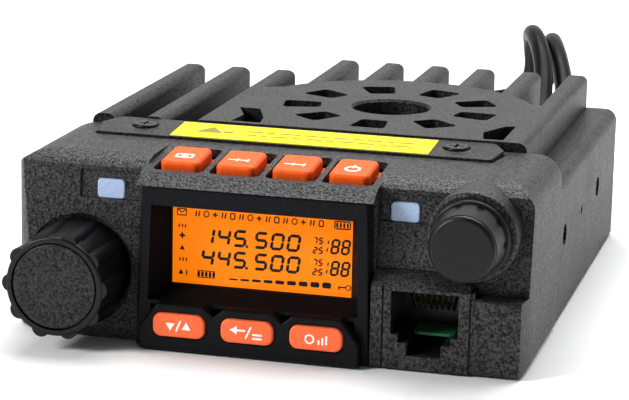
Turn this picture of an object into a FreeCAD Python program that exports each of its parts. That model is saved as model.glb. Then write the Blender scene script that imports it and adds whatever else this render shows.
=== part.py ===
import FreeCAD, Part
import math
import os

V = FreeCAD.Vector
os.makedirs("parts", exist_ok=True)

# ---------------------------------------------------------------------------
# Driving dimensions, in millimetres.  While the parts are made, y = 0 is the
# plane of the front cheeks, z = 0 is the surface that the radio stands on and
# x = 0 is the middle.  save() moves every part to the row's own origin.
# ---------------------------------------------------------------------------
PANEL_W = 99.4          # front panel, side to side
BODY_W = PANEL_W - 0.8  # die-cast chassis, side to side
DEPTH = 112.0           # cheek plane to the rear face
NOTCH_Y = DEPTH - 16.5  # rear face of the stepped corner behind the antenna socket
NOTCH_X = -15.2         # where the step is
SEAM_Y = 32.0           # where the front panel meets the chassis
PANEL_BOTTOM = 0.4
PANEL_TOP = 33.5
COVER_BOTTOM = 0.8
COVER_T = 1.2
COVER_SIDE_TOP = 6.5    # parting line between the cover and the casting
SHOULDER_Z = 27.8       # top of the side rails
FLOOR_Z = 22.5          # floor of the channels between the fins
CEILING_Z = 19.5        # underside of the heat sink
FIN_TOP = 35.1
FIN_PITCH = 10.12
FIN_T = 4.6
FIN_COUNT = 9
FIN_SETBACK = 3.1       # fins stop short of the rear faces
WALL = 3.0              # casting wall
PANEL_WALL = 2.0

# front panel shape
LEAN = 0.105            # the cheeks lean back this much per millimetre of height
LEAN_FOOT = 4.0         # height where a cheek crosses y = 0
BROW_Y = 9.5            # where the top starts to fall towards the front
BROW_Z = 31.6           # height of the cheek's upper edge
PANEL_TOP_R = 4.6
PANEL_LEFT_R = 9.0      # the upper left corner is rounder
PANEL_BOTTOM_R = 1.6
LEFT_TAPER = 2.0        # the left side draws in towards the front
LEFT_CORNER_R = 9.0

# middle hood with the four upper buttons
HOOD_HALF = 21.9
HOOD_FRONT_Y = -3.1
HOOD_LIP_Y = 0.2
HOOD_LIP_Z = 31.9
TRAY_BACK_Y = 16.5
TRAY_WALL = 1.4
BUTTON_PITCH = 10.5
BUTTON_W = 7.4
BUTTON_L = 9.6
BUTTON_RISE = 1.3
BUTTON_TRAVEL = 0.5
POCKET_W = BUTTON_W + 2.0
POCKET_L = BUTTON_L + 4.4
POCKET_Y = 8.6

# display frame and keys
FRAME_TOP_HALF = 21.0
FRAME_BOTTOM_HALF = 21.8
FRAME_TOP = 29.95
FRAME_BACK = 6.5
SHELF_Y = -5.6
SHELF_HALF = 20.4
SHELF_TOP = 9.0
GLASS_HALF = 17.0
GLASS_BOTTOM = 10.7
GLASS_TOP = 25.1
KEY_PITCH = 12.74
KEY_Z = 5.3
KEY_W = 9.8
KEY_H = 4.4
KEY_CORNER_R = 1.6
KEY_PROUD = 0.6
KEY_TRAVEL = 0.5
KEY_GAP = 0.25

# knobs
CHANNEL_X = -34.2
CHANNEL_Z = 12.3
CHANNEL_R = 9.5
CHANNEL_FRONT = -12.4
WELL_R = CHANNEL_R + 0.85
WELL_FLOOR = 3.2
CHANNEL_SHAFT_R = 3.0
LOBES = 10
VOLUME_X = 39.6
VOLUME_Z = 25.3
VOLUME_R = 7.1
VOLUME_FRONT_R = 5.9
VOLUME_FRONT = -12.2
COLLAR_R = 8.15
COLLAR_FRONT = -3.2
VOLUME_SHAFT_R = 2.5
BUSH_WALL = 0.8
RUNNING = 0.05          # radial clearance of a shaft in its bush

# microphone socket
MIC_LEFT = 24.3
MIC_RIGHT = 39.7
MIC_FRONT = -3.2
MIC_TOP = 15.2
MIC_BACK = 12.0
MIC_MID = (MIC_LEFT + MIC_RIGHT) / 2.0 - 0.3
MIC_OPEN_HALF = 6.1
MIC_OPEN_BOTTOM = 6.7
MIC_OPEN_TOP = 14.6
CORNER_TOP = 14.2       # smooth block right of the socket

LAMP_X = 27.5
LAMP_SHIFT = -1.05      # both lamps sit this much to the left of a mirrored pair
LAMP_Z = 27.5
LAMP_W = 5.3
LAMP_H = 3.7

BOARD_Y = 12.0          # front face of the control board
BOARD_T = 1.4
MAIN_BOARD_Z = 9.6
MAIN_BOARD_T = 1.6

# fan and grille
FAN_X = FIN_PITCH + 0.7
FAN_Y = 58.8
FAN_SIZE = 40.0
FAN_POCKET = FAN_SIZE + 0.6
FAN_T = 9.6
ROTOR_R = 18.4
FAN_BORE_R = 19.0
HUB_R = 10.5
GRILLE_R = 29.0
GRILLE_T = 2.8
HUB_HOLE_R = 7.6
SLOT_COUNT = 9
SLOT_IN = 14.0
SLOT_OUT = 21.4
SLOT_IN_HALF = 2.6
SLOT_OUT_HALF = 3.5

# bracket holes on the sides
BRACKET_Y = 63.0
BRACKET_SPACING = 43.0
BRACKET_Z = 16.2
BRACKET_R = 2.1
BRACKET_DEPTH = 6.0

# rear connectors
ANT_X = -31.0
ANT_Z = 10.9
ANT_R = 7.94            # 5/8 inch thread
ANT_LENGTH = 18.0
ANT_NECK_R = 4.1
ANT_SCREWS = (ANT_X - 10.4, ANT_X + 10.4)
JACK_X = 2.0
JACK_Z = 13.0
JACK_BORE_R = 1.8
LEAD_X = 32.0
LEAD_Z = 14.0
LEAD_HALF = 2.6
LEAD_R = 2.2
GROMMET_END = DEPTH + 12.0

# label strip that ties the panel to the casting
STRIP_FRONT = 21.7
STRIP_BACK = 32.7
STRIP_FRONT_Z = 33.95
STRIP_BACK_Z = 34.75
STRIP_X = 38.0
STRIP_SCREW_X = 3 * FIN_PITCH
STRIP_SCREW_Y = 28.0

# screw posts, boards, speaker and switches
POST_X = BODY_W / 2.0 - WALL - 2.6
COVER_SCREWS = [(-POST_X, SEAM_Y + 20.5), (POST_X, SEAM_Y + 20.5),
                (-POST_X, NOTCH_Y - 6.5), (POST_X, DEPTH - 6.5)]
BOARD_HALF = POST_X - 4.4
BOARD_SCREWS = [(-BOARD_HALF + 3.4, SEAM_Y + 7.6), (BOARD_HALF - 3.4, SEAM_Y + 7.6),
                (-BOARD_HALF + 3.4, NOTCH_Y - 13), (BOARD_HALF - 3.4, DEPTH - 12)]
SPEAKER_X = -8.0
SPEAKER_Y = 62.0
SPEAKER_R = 18.0
KEY_SWITCH_Y = BOARD_Y - 2.4
UPPER_SWITCH_TOP = 29.3
FAN_TOP = FIN_TOP - GRILLE_T - 0.1
FAN_BOTTOM = FAN_TOP - FAN_T
PANE_HALF = GLASS_HALF + 1.3
PANE_FRONT = 3.62

KNOB_TO_REAR = max(DEPTH, NOTCH_Y + ANT_LENGTH) - CHANNEL_FRONT
ORIGIN_Y = CHANNEL_FRONT + KNOB_TO_REAR / 2.0


# ---------------------------------------------------------------------------
# Small helpers
# ---------------------------------------------------------------------------
def save(node, *shapes):
    """Writes one node, moved to the row's origin."""
    shape = shapes[0] if len(shapes) == 1 else Part.Compound(list(shapes))
    moved = shape.copy()
    moved.translate(V(0, -ORIGIN_Y, 0))
    if not moved.isValid():
        print("invalid solid in", node)
    moved.exportStep("parts/" + node + ".step")
    print(node, len(moved.Solids), round(moved.Volume, 1))


def block(x0, x1, y0, y1, z0, z1):
    return Part.makeBox(x1 - x0, y1 - y0, z1 - z0, V(x0, y0, z0))


def rod_y(x, z, r, y0, y1):
    return Part.makeCylinder(r, y1 - y0, V(x, y0, z), V(0, 1, 0))


def rod_z(x, y, r, z0, z1):
    return Part.makeCylinder(r, z1 - z0, V(x, y, z0), V(0, 0, 1))


def rod_x(y, z, r, x0, x1):
    return Part.makeCylinder(r, x1 - x0, V(x0, y, z), V(1, 0, 0))


def cone_y(x, z, r0, r1, y0, y1):
    return Part.makeCone(r0, r1, y1 - y0, V(x, y0, z), V(0, 1, 0))


def cone_z(x, y, r0, r1, z0, z1):
    return Part.makeCone(r0, r1, z1 - z0, V(x, y, z0), V(0, 0, 1))


def prism(points, step):
    """A closed outline of points, swept by the vector step."""
    wire = Part.makePolygon(points + [points[0]])
    return Part.Face(wire).extrude(step)


def prism_xy(points, z0, z1):
    return prism([V(x, y, z0) for x, y in points], V(0, 0, z1 - z0))


def prism_xz(points, y0, y1):
    return prism([V(x, y0, z) for x, z in points], V(0, y1 - y0, 0))


def prism_yz(points, x0, x1):
    return prism([V(x0, y, z) for y, z in points], V(x1 - x0, 0, 0))


def swept(edges, step):
    return Part.Face(Part.Wire(edges)).extrude(step)


def fuse(first, *others):
    return first.fuse(list(others)).removeSplitter()


def edges_along(shape, axis, keep=lambda p: True):
    """The straight edges that run along an axis and whose middle point is kept."""
    found = []
    for edge in shape.Edges:
        if not isinstance(edge.Curve, Part.Line):
            continue
        run = edge.Vertexes[-1].Point - edge.Vertexes[0].Point
        if run.cross(axis).Length < 1e-6 * max(run.Length, 1.0) and keep(edge.CenterOfMass):
            found.append(edge)
    return found


def rounded_block(x0, x1, y0, y1, z0, z1, axis, r):
    """A block with the four edges along one axis rounded."""
    shape = block(x0, x1, y0, y1, z0, z1)
    return shape.makeFillet(r, edges_along(shape, axis))


def pill_wire(x, z, half, r, y):
    """A slot outline in the plane y: two lines and two half circles."""
    a = V(x - half, y, z + r)
    b = V(x + half, y, z + r)
    c = V(x + half, y, z - r)
    d = V(x - half, y, z - r)
    right = Part.Arc(b, V(x + half + r, y, z), c).toShape()
    left = Part.Arc(d, V(x - half - r, y, z), a).toShape()
    return Part.Wire([Part.LineSegment(a, b).toShape(), right, Part.LineSegment(c, d).toShape(), left])


def pill_y(x, z, w, h, y0, y1):
    wire = pill_wire(x, z, (w - h) / 2.0, h / 2.0, y0)
    return Part.Face(wire).extrude(V(0, y1 - y0, 0))


def cheek_y(z):
    return LEAN * (z - LEAN_FOOT)


def tube_path(points):
    """Straight runs joined by tangent arcs, each as large as its two runs allow."""
    edges = []
    start = points[0]
    radii = []
    for i in range(1, len(points) - 1):
        before = points[i] - points[i - 1]
        after = points[i + 1] - points[i]
        turn = before.getAngle(after)
        reach = 0.45 * min(before.Length, after.Length)
        radii.append(reach / math.tan(turn / 2.0))
        a = points[i] - before.normalize() * reach
        b = points[i] + after.normalize() * reach
        bisector = (a + b) * 0.5 - points[i]
        away = radii[-1] / math.cos(turn / 2.0) - radii[-1]
        mid = points[i] + bisector.normalize() * away
        edges.append(Part.LineSegment(start, a).toShape())
        edges.append(Part.Arc(a, mid, b).toShape())
        start = b
    edges.append(Part.LineSegment(start, points[-1]).toShape())
    return Part.Wire(edges), radii


def tube(name, points, r):
    path, radii = tube_path(points)
    first = (points[1] - points[0]).normalize()
    ring = Part.Wire([Part.makeCircle(r, points[0], first)])
    solid = path.makePipeShell([ring], True, False)
    expected = math.pi * r * r * path.Length
    print(name, "length", round(path.Length, 1), "least radius", round(min(radii), 1),
          "radii", [round(v, 1) for v in radii], "volume ratio", round(solid.Volume / expected, 4))
    return solid


# ---------------------------------------------------------------------------
# Front panel
# ---------------------------------------------------------------------------
def cheek_profile(inset, x0, x1):
    """Side view of the panel at the cheeks, swept from x0 to x1."""
    top = PANEL_TOP - inset
    bottom = PANEL_BOTTOM + inset
    back = SEAM_Y + inset
    brow = V(x0, cheek_y(BROW_Z) + inset, BROW_Z - inset)
    foot = V(x0, cheek_y(bottom) + inset, bottom)
    fall = V(x0, BROW_Y, top)
    mid = V(x0, BROW_Y * 0.62, top - 0.38)
    corners = [fall, V(x0, back, top), V(x0, back, bottom), foot, brow]
    edges = [Part.LineSegment(corners[i], corners[i + 1]).toShape() for i in range(4)]
    edges.append(Part.Arc(brow, mid, fall).toShape())
    return swept(edges, V(x1 - x0, 0, 0))


def panel_outline(inset):
    """Front view of the panel with its rounded corners, swept through its depth."""
    half = PANEL_W / 2.0 - inset
    y0 = -20.0
    y1 = SEAM_Y + inset
    shape = block(-half, half, y0, y1, PANEL_BOTTOM + inset, PANEL_TOP - inset)
    middle = (PANEL_BOTTOM + PANEL_TOP) / 2.0
    along = V(0, 1, 0)
    shape = shape.makeFillet(PANEL_TOP_R - inset, edges_along(shape, along, lambda p: p.z > middle and p.x > 0))
    shape = shape.makeFillet(PANEL_LEFT_R - inset, edges_along(shape, along, lambda p: p.z > middle and p.x < 0))
    lower = edges_along(shape, along, lambda p: p.z < middle)
    return shape.makeFillet(max(PANEL_BOTTOM_R - inset, 0.4), lower)


def panel_plan(inset):
    """Top view of the panel: the left side draws in, and both front corners are round."""
    half = PANEL_W / 2.0 - inset
    back = SEAM_Y + inset
    z0 = -1.0
    front = -20.0
    left_front = -half + LEFT_TAPER
    r = LEFT_CORNER_R
    foot = cheek_y(PANEL_BOTTOM) + inset
    a = V(-half, back, z0)
    b = V(left_front, foot + r, z0)
    c = V(left_front + r * (1 - math.sqrt(0.5)), foot + r * (1 - math.sqrt(0.5)), z0)
    d = V(left_front + r, foot, z0)
    e = V(left_front + r, front, z0)
    f = V(half - 0.8, front, z0)
    g = V(half - 0.8, MIC_FRONT, z0)
    h = V(half - 0.2, 1.0, z0)
    i = V(half, 6.0, z0)
    j = V(half, back, z0)
    edges = [
        Part.LineSegment(a, b).toShape(), Part.Arc(b, c, d).toShape(), Part.LineSegment(d, e).toShape(),
        Part.LineSegment(e, f).toShape(), Part.LineSegment(f, g).toShape(), Part.Arc(g, h, i).toShape(),
        Part.LineSegment(i, j).toShape(), Part.LineSegment(j, a).toShape()]
    return swept(edges, V(0, 0, PANEL_TOP + 3.0))


def tray_z(y):
    """Height of the sloping tray that the upper buttons stand in."""
    return PANEL_TOP - (TRAY_BACK_Y - y) * (PANEL_TOP - HOOD_LIP_Z) / (TRAY_BACK_Y - HOOD_LIP_Y)


TRAY_ANGLE = math.degrees(math.atan2(PANEL_TOP - HOOD_LIP_Z, TRAY_BACK_Y - HOOD_LIP_Y))
TRAY_PIVOT = V(0, POCKET_Y, tray_z(POCKET_Y))


def on_tray(shape):
    """Turns a shape made about a level tray at z = 0 onto the sloping tray."""
    moved = shape.copy()
    moved.rotate(V(0, 0, 0), V(1, 0, 0), TRAY_ANGLE)
    moved.translate(TRAY_PIVOT)
    return moved


def hood_profile(inset):
    """The middle of the panel, with the sloping tray and the brow over the display."""
    top = PANEL_TOP - inset
    drop = TRAY_WALL if inset else 0.0
    back = SEAM_Y + inset
    points = [
        (back, PANEL_BOTTOM + inset), (back, top), (TRAY_BACK_Y + inset, top),
        (TRAY_BACK_Y, tray_z(TRAY_BACK_Y) - drop), (HOOD_LIP_Y + 2.5 * inset, tray_z(HOOD_LIP_Y + 2.5 * inset) - drop)]
    if not inset:
        points += [(HOOD_FRONT_Y, FRAME_TOP), (HOOD_FRONT_Y + 4.0, FRAME_TOP)]
    points += [(1.0 + inset, FRAME_TOP - 1.0), (1.0 + inset, PANEL_BOTTOM + inset)]
    half = HOOD_HALF - (0.9 if inset else 0.0)
    return prism_yz(points, -half, half)


def display_frame_outline(clearance, y0, y1):
    top = FRAME_TOP_HALF + clearance
    low = FRAME_BOTTOM_HALF + clearance
    return prism_xz([(-low, PANEL_BOTTOM - clearance), (low, PANEL_BOTTOM - clearance),
                     (top, FRAME_TOP), (-top, FRAME_TOP)], y0, y1)


def mic_opening(y0, y1, grow=0.0):
    """The stepped outline of an eight-way modular socket."""
    half = MIC_OPEN_HALF + grow
    x = MIC_MID
    steps = [
        (x - half, MIC_OPEN_TOP + grow), (x - half, MIC_OPEN_BOTTOM), (x - 4.8 - grow, MIC_OPEN_BOTTOM),
        (x - 4.8 - grow, 5.2), (x - 3.1 - grow, 5.2), (x - 3.1 - grow, 2.9 - grow), (x + 3.1 + grow, 2.9 - grow),
        (x + 3.1 + grow, 5.2), (x + 4.8 + grow, 5.2), (x + 4.8 + grow, MIC_OPEN_BOTTOM),
        (x + half, MIC_OPEN_BOTTOM), (x + half, MIC_OPEN_TOP + grow)]
    return prism_xz(steps, y0, y1)


def lamp_strip(x0, x1):
    """The smooth shallow recess that a lamp window sits in."""
    low = LAMP_Z - 1.8
    high = LAMP_Z + 3.4
    sink = 0.5
    return prism_yz([(cheek_y(low) - 2, low), (cheek_y(low) + sink, low),
                     (cheek_y(high) + sink, high), (cheek_y(high) - 2, high)], x0, x1)


def front_panel():
    half = PANEL_W / 2.0
    shell = cheek_profile(0.0, -half, half).common(panel_outline(0.0))
    # lower right block with the bevelled top over the microphone socket
    bevel_back = cheek_y(17.6) + 3.0
    mic_block = prism_yz([(MIC_FRONT, PANEL_BOTTOM), (MIC_FRONT, MIC_TOP), (cheek_y(17.6), 17.6),
                          (bevel_back, 17.6), (bevel_back, PANEL_BOTTOM)], HOOD_HALF, MIC_RIGHT)
    corner_block = block(MIC_RIGHT, half, MIC_FRONT, 4.0, PANEL_BOTTOM, CORNER_TOP)
    corner_block = corner_block.makeFillet(0.8, edges_along(corner_block, V(1, 0, 0), lambda p: p.y < 0))
    shell = shell.fuse([mic_block, corner_block]).common(panel_plan(0.0))
    shell = shell.common(panel_outline(0.0))
    # tray and brow in the middle
    over_tray = prism_yz([(-10, HOOD_LIP_Z - 1), (-10, 40), (TRAY_BACK_Y, 40), (TRAY_BACK_Y, PANEL_TOP),
                          (HOOD_LIP_Y, HOOD_LIP_Z), (HOOD_LIP_Y - 2, HOOD_LIP_Z - 1)], -HOOD_HALF, HOOD_HALF)
    shell = shell.cut(over_tray).fuse(hood_profile(0.0))
    collar = rod_y(VOLUME_X, VOLUME_Z, COLLAR_R, COLLAR_FRONT, BROW_Y)
    front_rim = [e for e in collar.Edges if abs(e.CenterOfMass.y - COLLAR_FRONT) < 0.01 and e.Closed]
    shell = shell.fuse(collar.makeFillet(0.7, front_rim))
    # hollow inside
    hollow = cheek_profile(PANEL_WALL, -half, half).common(panel_outline(PANEL_WALL)).common(panel_plan(PANEL_WALL))
    under_tray = prism_yz([(-10, 20), (-10, 40), (TRAY_BACK_Y + 2, 40), (TRAY_BACK_Y + 2, PANEL_TOP - PANEL_WALL),
                           (TRAY_BACK_Y, tray_z(TRAY_BACK_Y) - TRAY_WALL), (HOOD_LIP_Y, tray_z(HOOD_LIP_Y) - TRAY_WALL),
                           (HOOD_LIP_Y, 20)], -HOOD_HALF - 0.1, HOOD_HALF + 0.1)
    hollow = hollow.cut(under_tray).fuse(hood_profile(PANEL_WALL))
    shell = shell.cut(hollow)
    # bosses behind the well and behind the collar
    boss_back = 5.6
    well_boss = rod_y(CHANNEL_X, CHANNEL_Z, WELL_R + 1.4, 1.0, boss_back)
    well_boss = well_boss.common(cheek_profile(0.0, -half, half)).common(panel_plan(0.0)).common(panel_outline(0.0))
    collar_core = rod_y(VOLUME_X, VOLUME_Z, COLLAR_R - 0.6, COLLAR_FRONT + 1.0, boss_back)
    shell = shell.fuse([well_boss, collar_core.common(panel_outline(0.0))])
    # a solid core behind the socket face
    shell = shell.fuse(block(HOOD_HALF + 0.1, MIC_RIGHT + 0.8, MIC_FRONT + 0.5, 4.6, PANEL_BOTTOM + 0.2, MIC_TOP))
    # openings
    shell = shell.cut(display_frame_outline(0.0, -10.0, FRAME_BACK))
    shell = shell.cut(rod_y(CHANNEL_X, CHANNEL_Z, WELL_R, -10.0, WELL_FLOOR))
    shell = shell.cut(rod_y(CHANNEL_X, CHANNEL_Z, CHANNEL_SHAFT_R + BUSH_WALL, -10.0, 20.0))
    shell = shell.cut(rod_y(VOLUME_X, VOLUME_Z, VOLUME_SHAFT_R + BUSH_WALL, -10.0, 20.0))
    shell = shell.cut(mic_opening(-10.0, MIC_BACK))
    jack = block(MIC_LEFT + 0.2, MIC_RIGHT - 0.3, MIC_FRONT + 1.4, MIC_BACK, 1.0, MIC_TOP + 0.3)
    shell = shell.cut(jack)
    for groove_x in (MIC_LEFT - 0.35, MIC_RIGHT):
        shell = shell.cut(block(groove_x, groove_x + 0.35, MIC_FRONT - 1, MIC_FRONT + 0.5, -1, MIC_TOP + 3))
    for x0, x1 in ((LAMP_SHIFT - 33.4, -FRAME_TOP_HALF), (FRAME_TOP_HALF, LAMP_SHIFT + 34.4)):
        shell = shell.cut(lamp_strip(x0, x1).cut(collar).cut(hood_profile(0.0)))
    for side in (-1, 1):
        shell = shell.cut(lamp_hole(side))
    for i in range(4):
        shell = shell.cut(on_tray(tray_pocket(i)))
    # seat of the label strip, its screw holes and a parting groove round the strip
    shell = shell.cut(strip_body(0.3, PANEL_TOP - 0.5))
    for side in (-1, 1):
        shell = shell.cut(rod_z(side * STRIP_SCREW_X, STRIP_SCREW_Y, 1.6, 20, 40))
    return shell.removeSplitter()


def lamp_hole(side):
    x = side * LAMP_X + LAMP_SHIFT
    w = LAMP_W / 2.0
    h = LAMP_H / 2.0
    return rounded_block(x - w, x + w, cheek_y(LAMP_Z) + 0.1, 10.0, LAMP_Z - h, LAMP_Z + h, V(0, 1, 0), 0.8)


def button_x(i):
    return (i - 1.5) * BUTTON_PITCH


def tray_pocket(i):
    x = button_x(i)
    half = POCKET_W / 2.0
    return rounded_block(x - half, x + half, -POCKET_L / 2.0, POCKET_L / 2.0, -8.0, 4.0, V(0, 0, 1), 1.2)


# ---------------------------------------------------------------------------
# Label strip across the seam
# ---------------------------------------------------------------------------
def strip_body(grow, z0):
    """The strip's outline with its sloping top; grow is the gap round it."""
    f = STRIP_FRONT - grow
    b = STRIP_BACK + grow
    x = STRIP_X + grow
    middle_y = (STRIP_FRONT + STRIP_BACK) / 2.0 + 1.2
    outline = [(-x, f), (x, f), (x + 1.2, middle_y), (x - 1.2, b), (-x + 1.2, b), (-x - 1.2, middle_y)]
    body = prism_xy(outline, z0, 40.0)
    lid = prism_yz([(f - 1, strip_z(f - 1)), (b + 1, strip_z(b + 1)), (b + 1, 50), (f - 1, 50)], -60, 60)
    return body.cut(lid)


def strip_z(y):
    return STRIP_FRONT_Z + (y - STRIP_FRONT) * (STRIP_BACK_Z - STRIP_FRONT_Z) / (STRIP_BACK - STRIP_FRONT)


def label_strip():
    body = strip_body(0.0, PANEL_TOP - 0.5)
    body = body.makeFillet(0.8, edges_along(body, V(0, 0, 1)))
    for side in (-1, 1):
        x = side * STRIP_SCREW_X
        body = body.cut(rod_z(x, STRIP_SCREW_Y, 1.6, 20, 40))
        body = body.cut(rod_z(x, STRIP_SCREW_Y, 2.6, strip_z(STRIP_SCREW_Y) - 0.6, 40))
    return body


def yellow_label():
    t = 0.12
    y0 = STRIP_FRONT + 0.5
    y1 = STRIP_BACK - 0.9
    return prism_yz([(y0, strip_z(y0)), (y1, strip_z(y1)), (y1, strip_z(y1) + t), (y0, strip_z(y0) + t)], -23.7, 26.2)


def strip_screws():
    z = strip_z(STRIP_SCREW_Y) - 0.6
    made = []
    for side in (-1, 1):
        x = side * STRIP_SCREW_X
        head = rod_z(x, STRIP_SCREW_Y, 2.4, z, z + 1.0)
        head = head.makeFillet(0.4, [e for e in head.Edges if e.CenterOfMass.z > z + 0.9 and e.Closed])
        slot = block(x - 1.4, x + 1.4, STRIP_SCREW_Y - 0.25, STRIP_SCREW_Y + 0.25, z + 0.5, z + 2)
        cross = block(x - 0.25, x + 0.25, STRIP_SCREW_Y - 1.4, STRIP_SCREW_Y + 1.4, z + 0.5, z + 2)
        shank = rod_z(x, STRIP_SCREW_Y, 1.4, z - 5.6, z)
        made.append(head.cut(slot).cut(cross).fuse(shank).removeSplitter())
    return made


# ---------------------------------------------------------------------------
# Display frame, window, display and keys
# ---------------------------------------------------------------------------
def key_x(i):
    return (i - 1) * KEY_PITCH


def display_frame():
    body = display_frame_outline(0.0, HOOD_FRONT_Y, FRAME_BACK)
    rim = [e for e in body.Edges if abs(e.CenterOfMass.y - HOOD_FRONT_Y) < 0.01 and e.CenterOfMass.z > 2.0]
    body = body.makeFillet(0.5, rim)
    # shelf with a shallow V between the keys
    dip = 1.6
    points = [(-SHELF_HALF, 4.6), (-SHELF_HALF + 3.2, SHELF_TOP)]
    for mid in (-KEY_PITCH / 2.0, KEY_PITCH / 2.0):
        points += [(mid - 1.9, SHELF_TOP), (mid, SHELF_TOP - dip), (mid + 1.9, SHELF_TOP)]
    points += [(SHELF_HALF - 3.2, SHELF_TOP), (SHELF_HALF, 4.6), (SHELF_HALF, PANEL_BOTTOM), (-SHELF_HALF, PANEL_BOTTOM)]
    shelf = prism_xz(points, SHELF_Y, HOOD_FRONT_Y + 0.2)
    ends = edges_along(shelf, V(0, 1, 0), lambda p: abs(p.x) > SHELF_HALF - 4 and p.z > 2)
    shelf = shelf.makeFillet(1.6, ends)
    face = [e for e in shelf.Edges if abs(e.CenterOfMass.y - SHELF_Y) < 0.01]
    shelf = shelf.makeFillet(0.45, face)
    body = body.fuse(shelf)
    # sloping recess down to the glass
    glass_y = 2.6
    outer = Part.makePolygon([V(-19.6, HOOD_FRONT_Y - 0.01, SHELF_TOP), V(19.6, HOOD_FRONT_Y - 0.01, SHELF_TOP),
                              V(19.0, HOOD_FRONT_Y - 0.01, 26.6), V(-19.0, HOOD_FRONT_Y - 0.01, 26.6),
                              V(-19.6, HOOD_FRONT_Y - 0.01, SHELF_TOP)])
    inner = Part.makePolygon([V(-GLASS_HALF, glass_y, GLASS_BOTTOM), V(GLASS_HALF, glass_y, GLASS_BOTTOM),
                              V(GLASS_HALF, glass_y, GLASS_TOP), V(-GLASS_HALF, glass_y, GLASS_TOP),
                              V(-GLASS_HALF, glass_y, GLASS_BOTTOM)])
    body = body.cut(Part.makeLoft([outer, inner], True))
    body = body.cut(block(-GLASS_HALF, GLASS_HALF, glass_y - 0.01, 20, GLASS_BOTTOM, GLASS_TOP))
    body = body.cut(block(-PANE_HALF - 0.1, PANE_HALF + 0.1, PANE_FRONT - 0.02, 20, GLASS_BOTTOM - 0.9, GLASS_TOP + 1.0))
    # key bay behind the shelf, and the three key holes
    body = body.cut(block(-19.0, 19.0, SHELF_Y + 2.0, 20, 1.8, 8.25))
    for i in range(3):
        body = body.cut(key_block(i, KEY_GAP, -20, 0))
    return body.removeSplitter()


def pane(behind, thick):
    """A plate the size of the display, behind the front face of the window."""
    y = PANE_FRONT + behind
    return block(-PANE_HALF, PANE_HALF, y, y + thick, GLASS_BOTTOM - 0.8, GLASS_TOP + 0.9)


def key_block(i, grow, y0, y1):
    """The rounded outline of a lower key, made larger all round by grow."""
    w = KEY_W / 2.0 + grow
    h = KEY_H / 2.0 + grow
    x = key_x(i)
    return rounded_block(x - w, x + w, y0, y1, KEY_Z - h, KEY_Z + h, V(0, 1, 0), KEY_CORNER_R + grow)


def lower_key(i):
    x = key_x(i)
    front = SHELF_Y - KEY_PROUD
    cap = key_block(i, 0.0, front, SHELF_Y + 2.3)
    rim = [e for e in cap.Edges if abs(e.CenterOfMass.y - front) < 0.01]
    cap = cap.makeFillet(0.45, rim)
    flange = key_block(i, 0.6, SHELF_Y + 2.15, SHELF_Y + 3.1)
    stem = rod_y(x, KEY_Z, 1.5, SHELF_Y + 3.1, KEY_SWITCH_Y - KEY_TRAVEL - 0.3)
    return fuse(cap, flange, stem)


def lower_switches():
    made = []
    for i in range(3):
        base = block(key_x(i) - 2.2, key_x(i) + 2.2, BOARD_Y - 1.8, BOARD_Y, KEY_Z - 2.2, KEY_Z + 2.2)
        plunger = rod_y(key_x(i), KEY_Z, 1.1, KEY_SWITCH_Y, BOARD_Y - 1.8)
        made.append(base.fuse(plunger))
    return made


def upper_button(i):
    """Cap, neck and retaining flange, made about a level tray and turned onto it."""
    x = button_x(i)
    half_w = BUTTON_W / 2.0
    y0 = -BUTTON_L / 2.0 - 0.9
    y1 = y0 + BUTTON_L
    cap = block(x - half_w, x + half_w, y0, y1, -1.0, BUTTON_RISE)
    cap = cap.makeFillet(1.3, edges_along(cap, V(0, 0, 1)))
    top = [e for e in cap.Edges if abs(e.CenterOfMass.z - BUTTON_RISE) < 0.01]
    cap = cap.makeFillet(0.7, top)
    neck = block(x - half_w + 0.5, x + half_w - 0.5, 0.2, y1 - 0.5, -1.6, -1.0)
    flange = block(x - half_w - 0.75, x + half_w + 0.75, 0.2, y1 + 1.9, -2.2, -1.6)
    return on_tray(fuse(cap, neck, flange))


def upper_switches():
    made = []
    for i in range(4):
        x = button_x(i)
        base = block(x - 2.2, x + 2.2, 7.4, 11.8, 28.0, 29.0)
        made.append(base.fuse(rod_z(x, 9.6, 1.1, 29.0, UPPER_SWITCH_TOP)))
    return made


# ---------------------------------------------------------------------------
# Knobs, encoder and volume control
# ---------------------------------------------------------------------------
def channel_knob():
    x = CHANNEL_X
    z = CHANNEL_Z
    back = WELL_FLOOR - 0.4
    barrel = cone_y(x, z, CHANNEL_R - 0.7, CHANNEL_R - 0.1, CHANNEL_FRONT + 3.0, back)
    rim = rod_y(x, z, CHANNEL_R - 0.35, CHANNEL_FRONT, CHANNEL_FRONT + 3.4)
    rim = rim.makeFillet(0.5, [e for e in rim.Edges if abs(e.CenterOfMass.y - CHANNEL_FRONT) < 0.01 and e.Closed])
    body = barrel.fuse(rim)
    for i in range(LOBES):
        angle = 2.0 * math.pi * i / LOBES
        lx = x + (CHANNEL_R - 1.25) * math.cos(angle)
        lz = z + (CHANNEL_R - 1.25) * math.sin(angle)
        lobe = cone_y(lx, lz, 1.7, 1.45, CHANNEL_FRONT + 0.3, back - 2.0)
        body = body.fuse(lobe)
    body = body.cut(rod_y(x, z, CHANNEL_R - 1.4, CHANNEL_FRONT - 1, CHANNEL_FRONT + 1.0))
    body = body.cut(rod_y(x, z, CHANNEL_SHAFT_R, CHANNEL_FRONT + 2.5, 20))
    return body.cut(rod_y(x, z, 5.6, -1.5, 20)).removeSplitter()


def channel_cap():
    x = CHANNEL_X
    z = CHANNEL_Z
    front = CHANNEL_FRONT + 0.1
    disc = rod_y(x, z, CHANNEL_R - 1.65, front, CHANNEL_FRONT + 1.0)
    return disc.makeFillet(0.3, [e for e in disc.Edges if abs(e.CenterOfMass.y - front) < 0.01 and e.Closed])


def channel_shaft():
    return rod_y(CHANNEL_X, CHANNEL_Z, CHANNEL_SHAFT_R, CHANNEL_FRONT + 2.6, BOARD_Y - 1.0)


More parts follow.
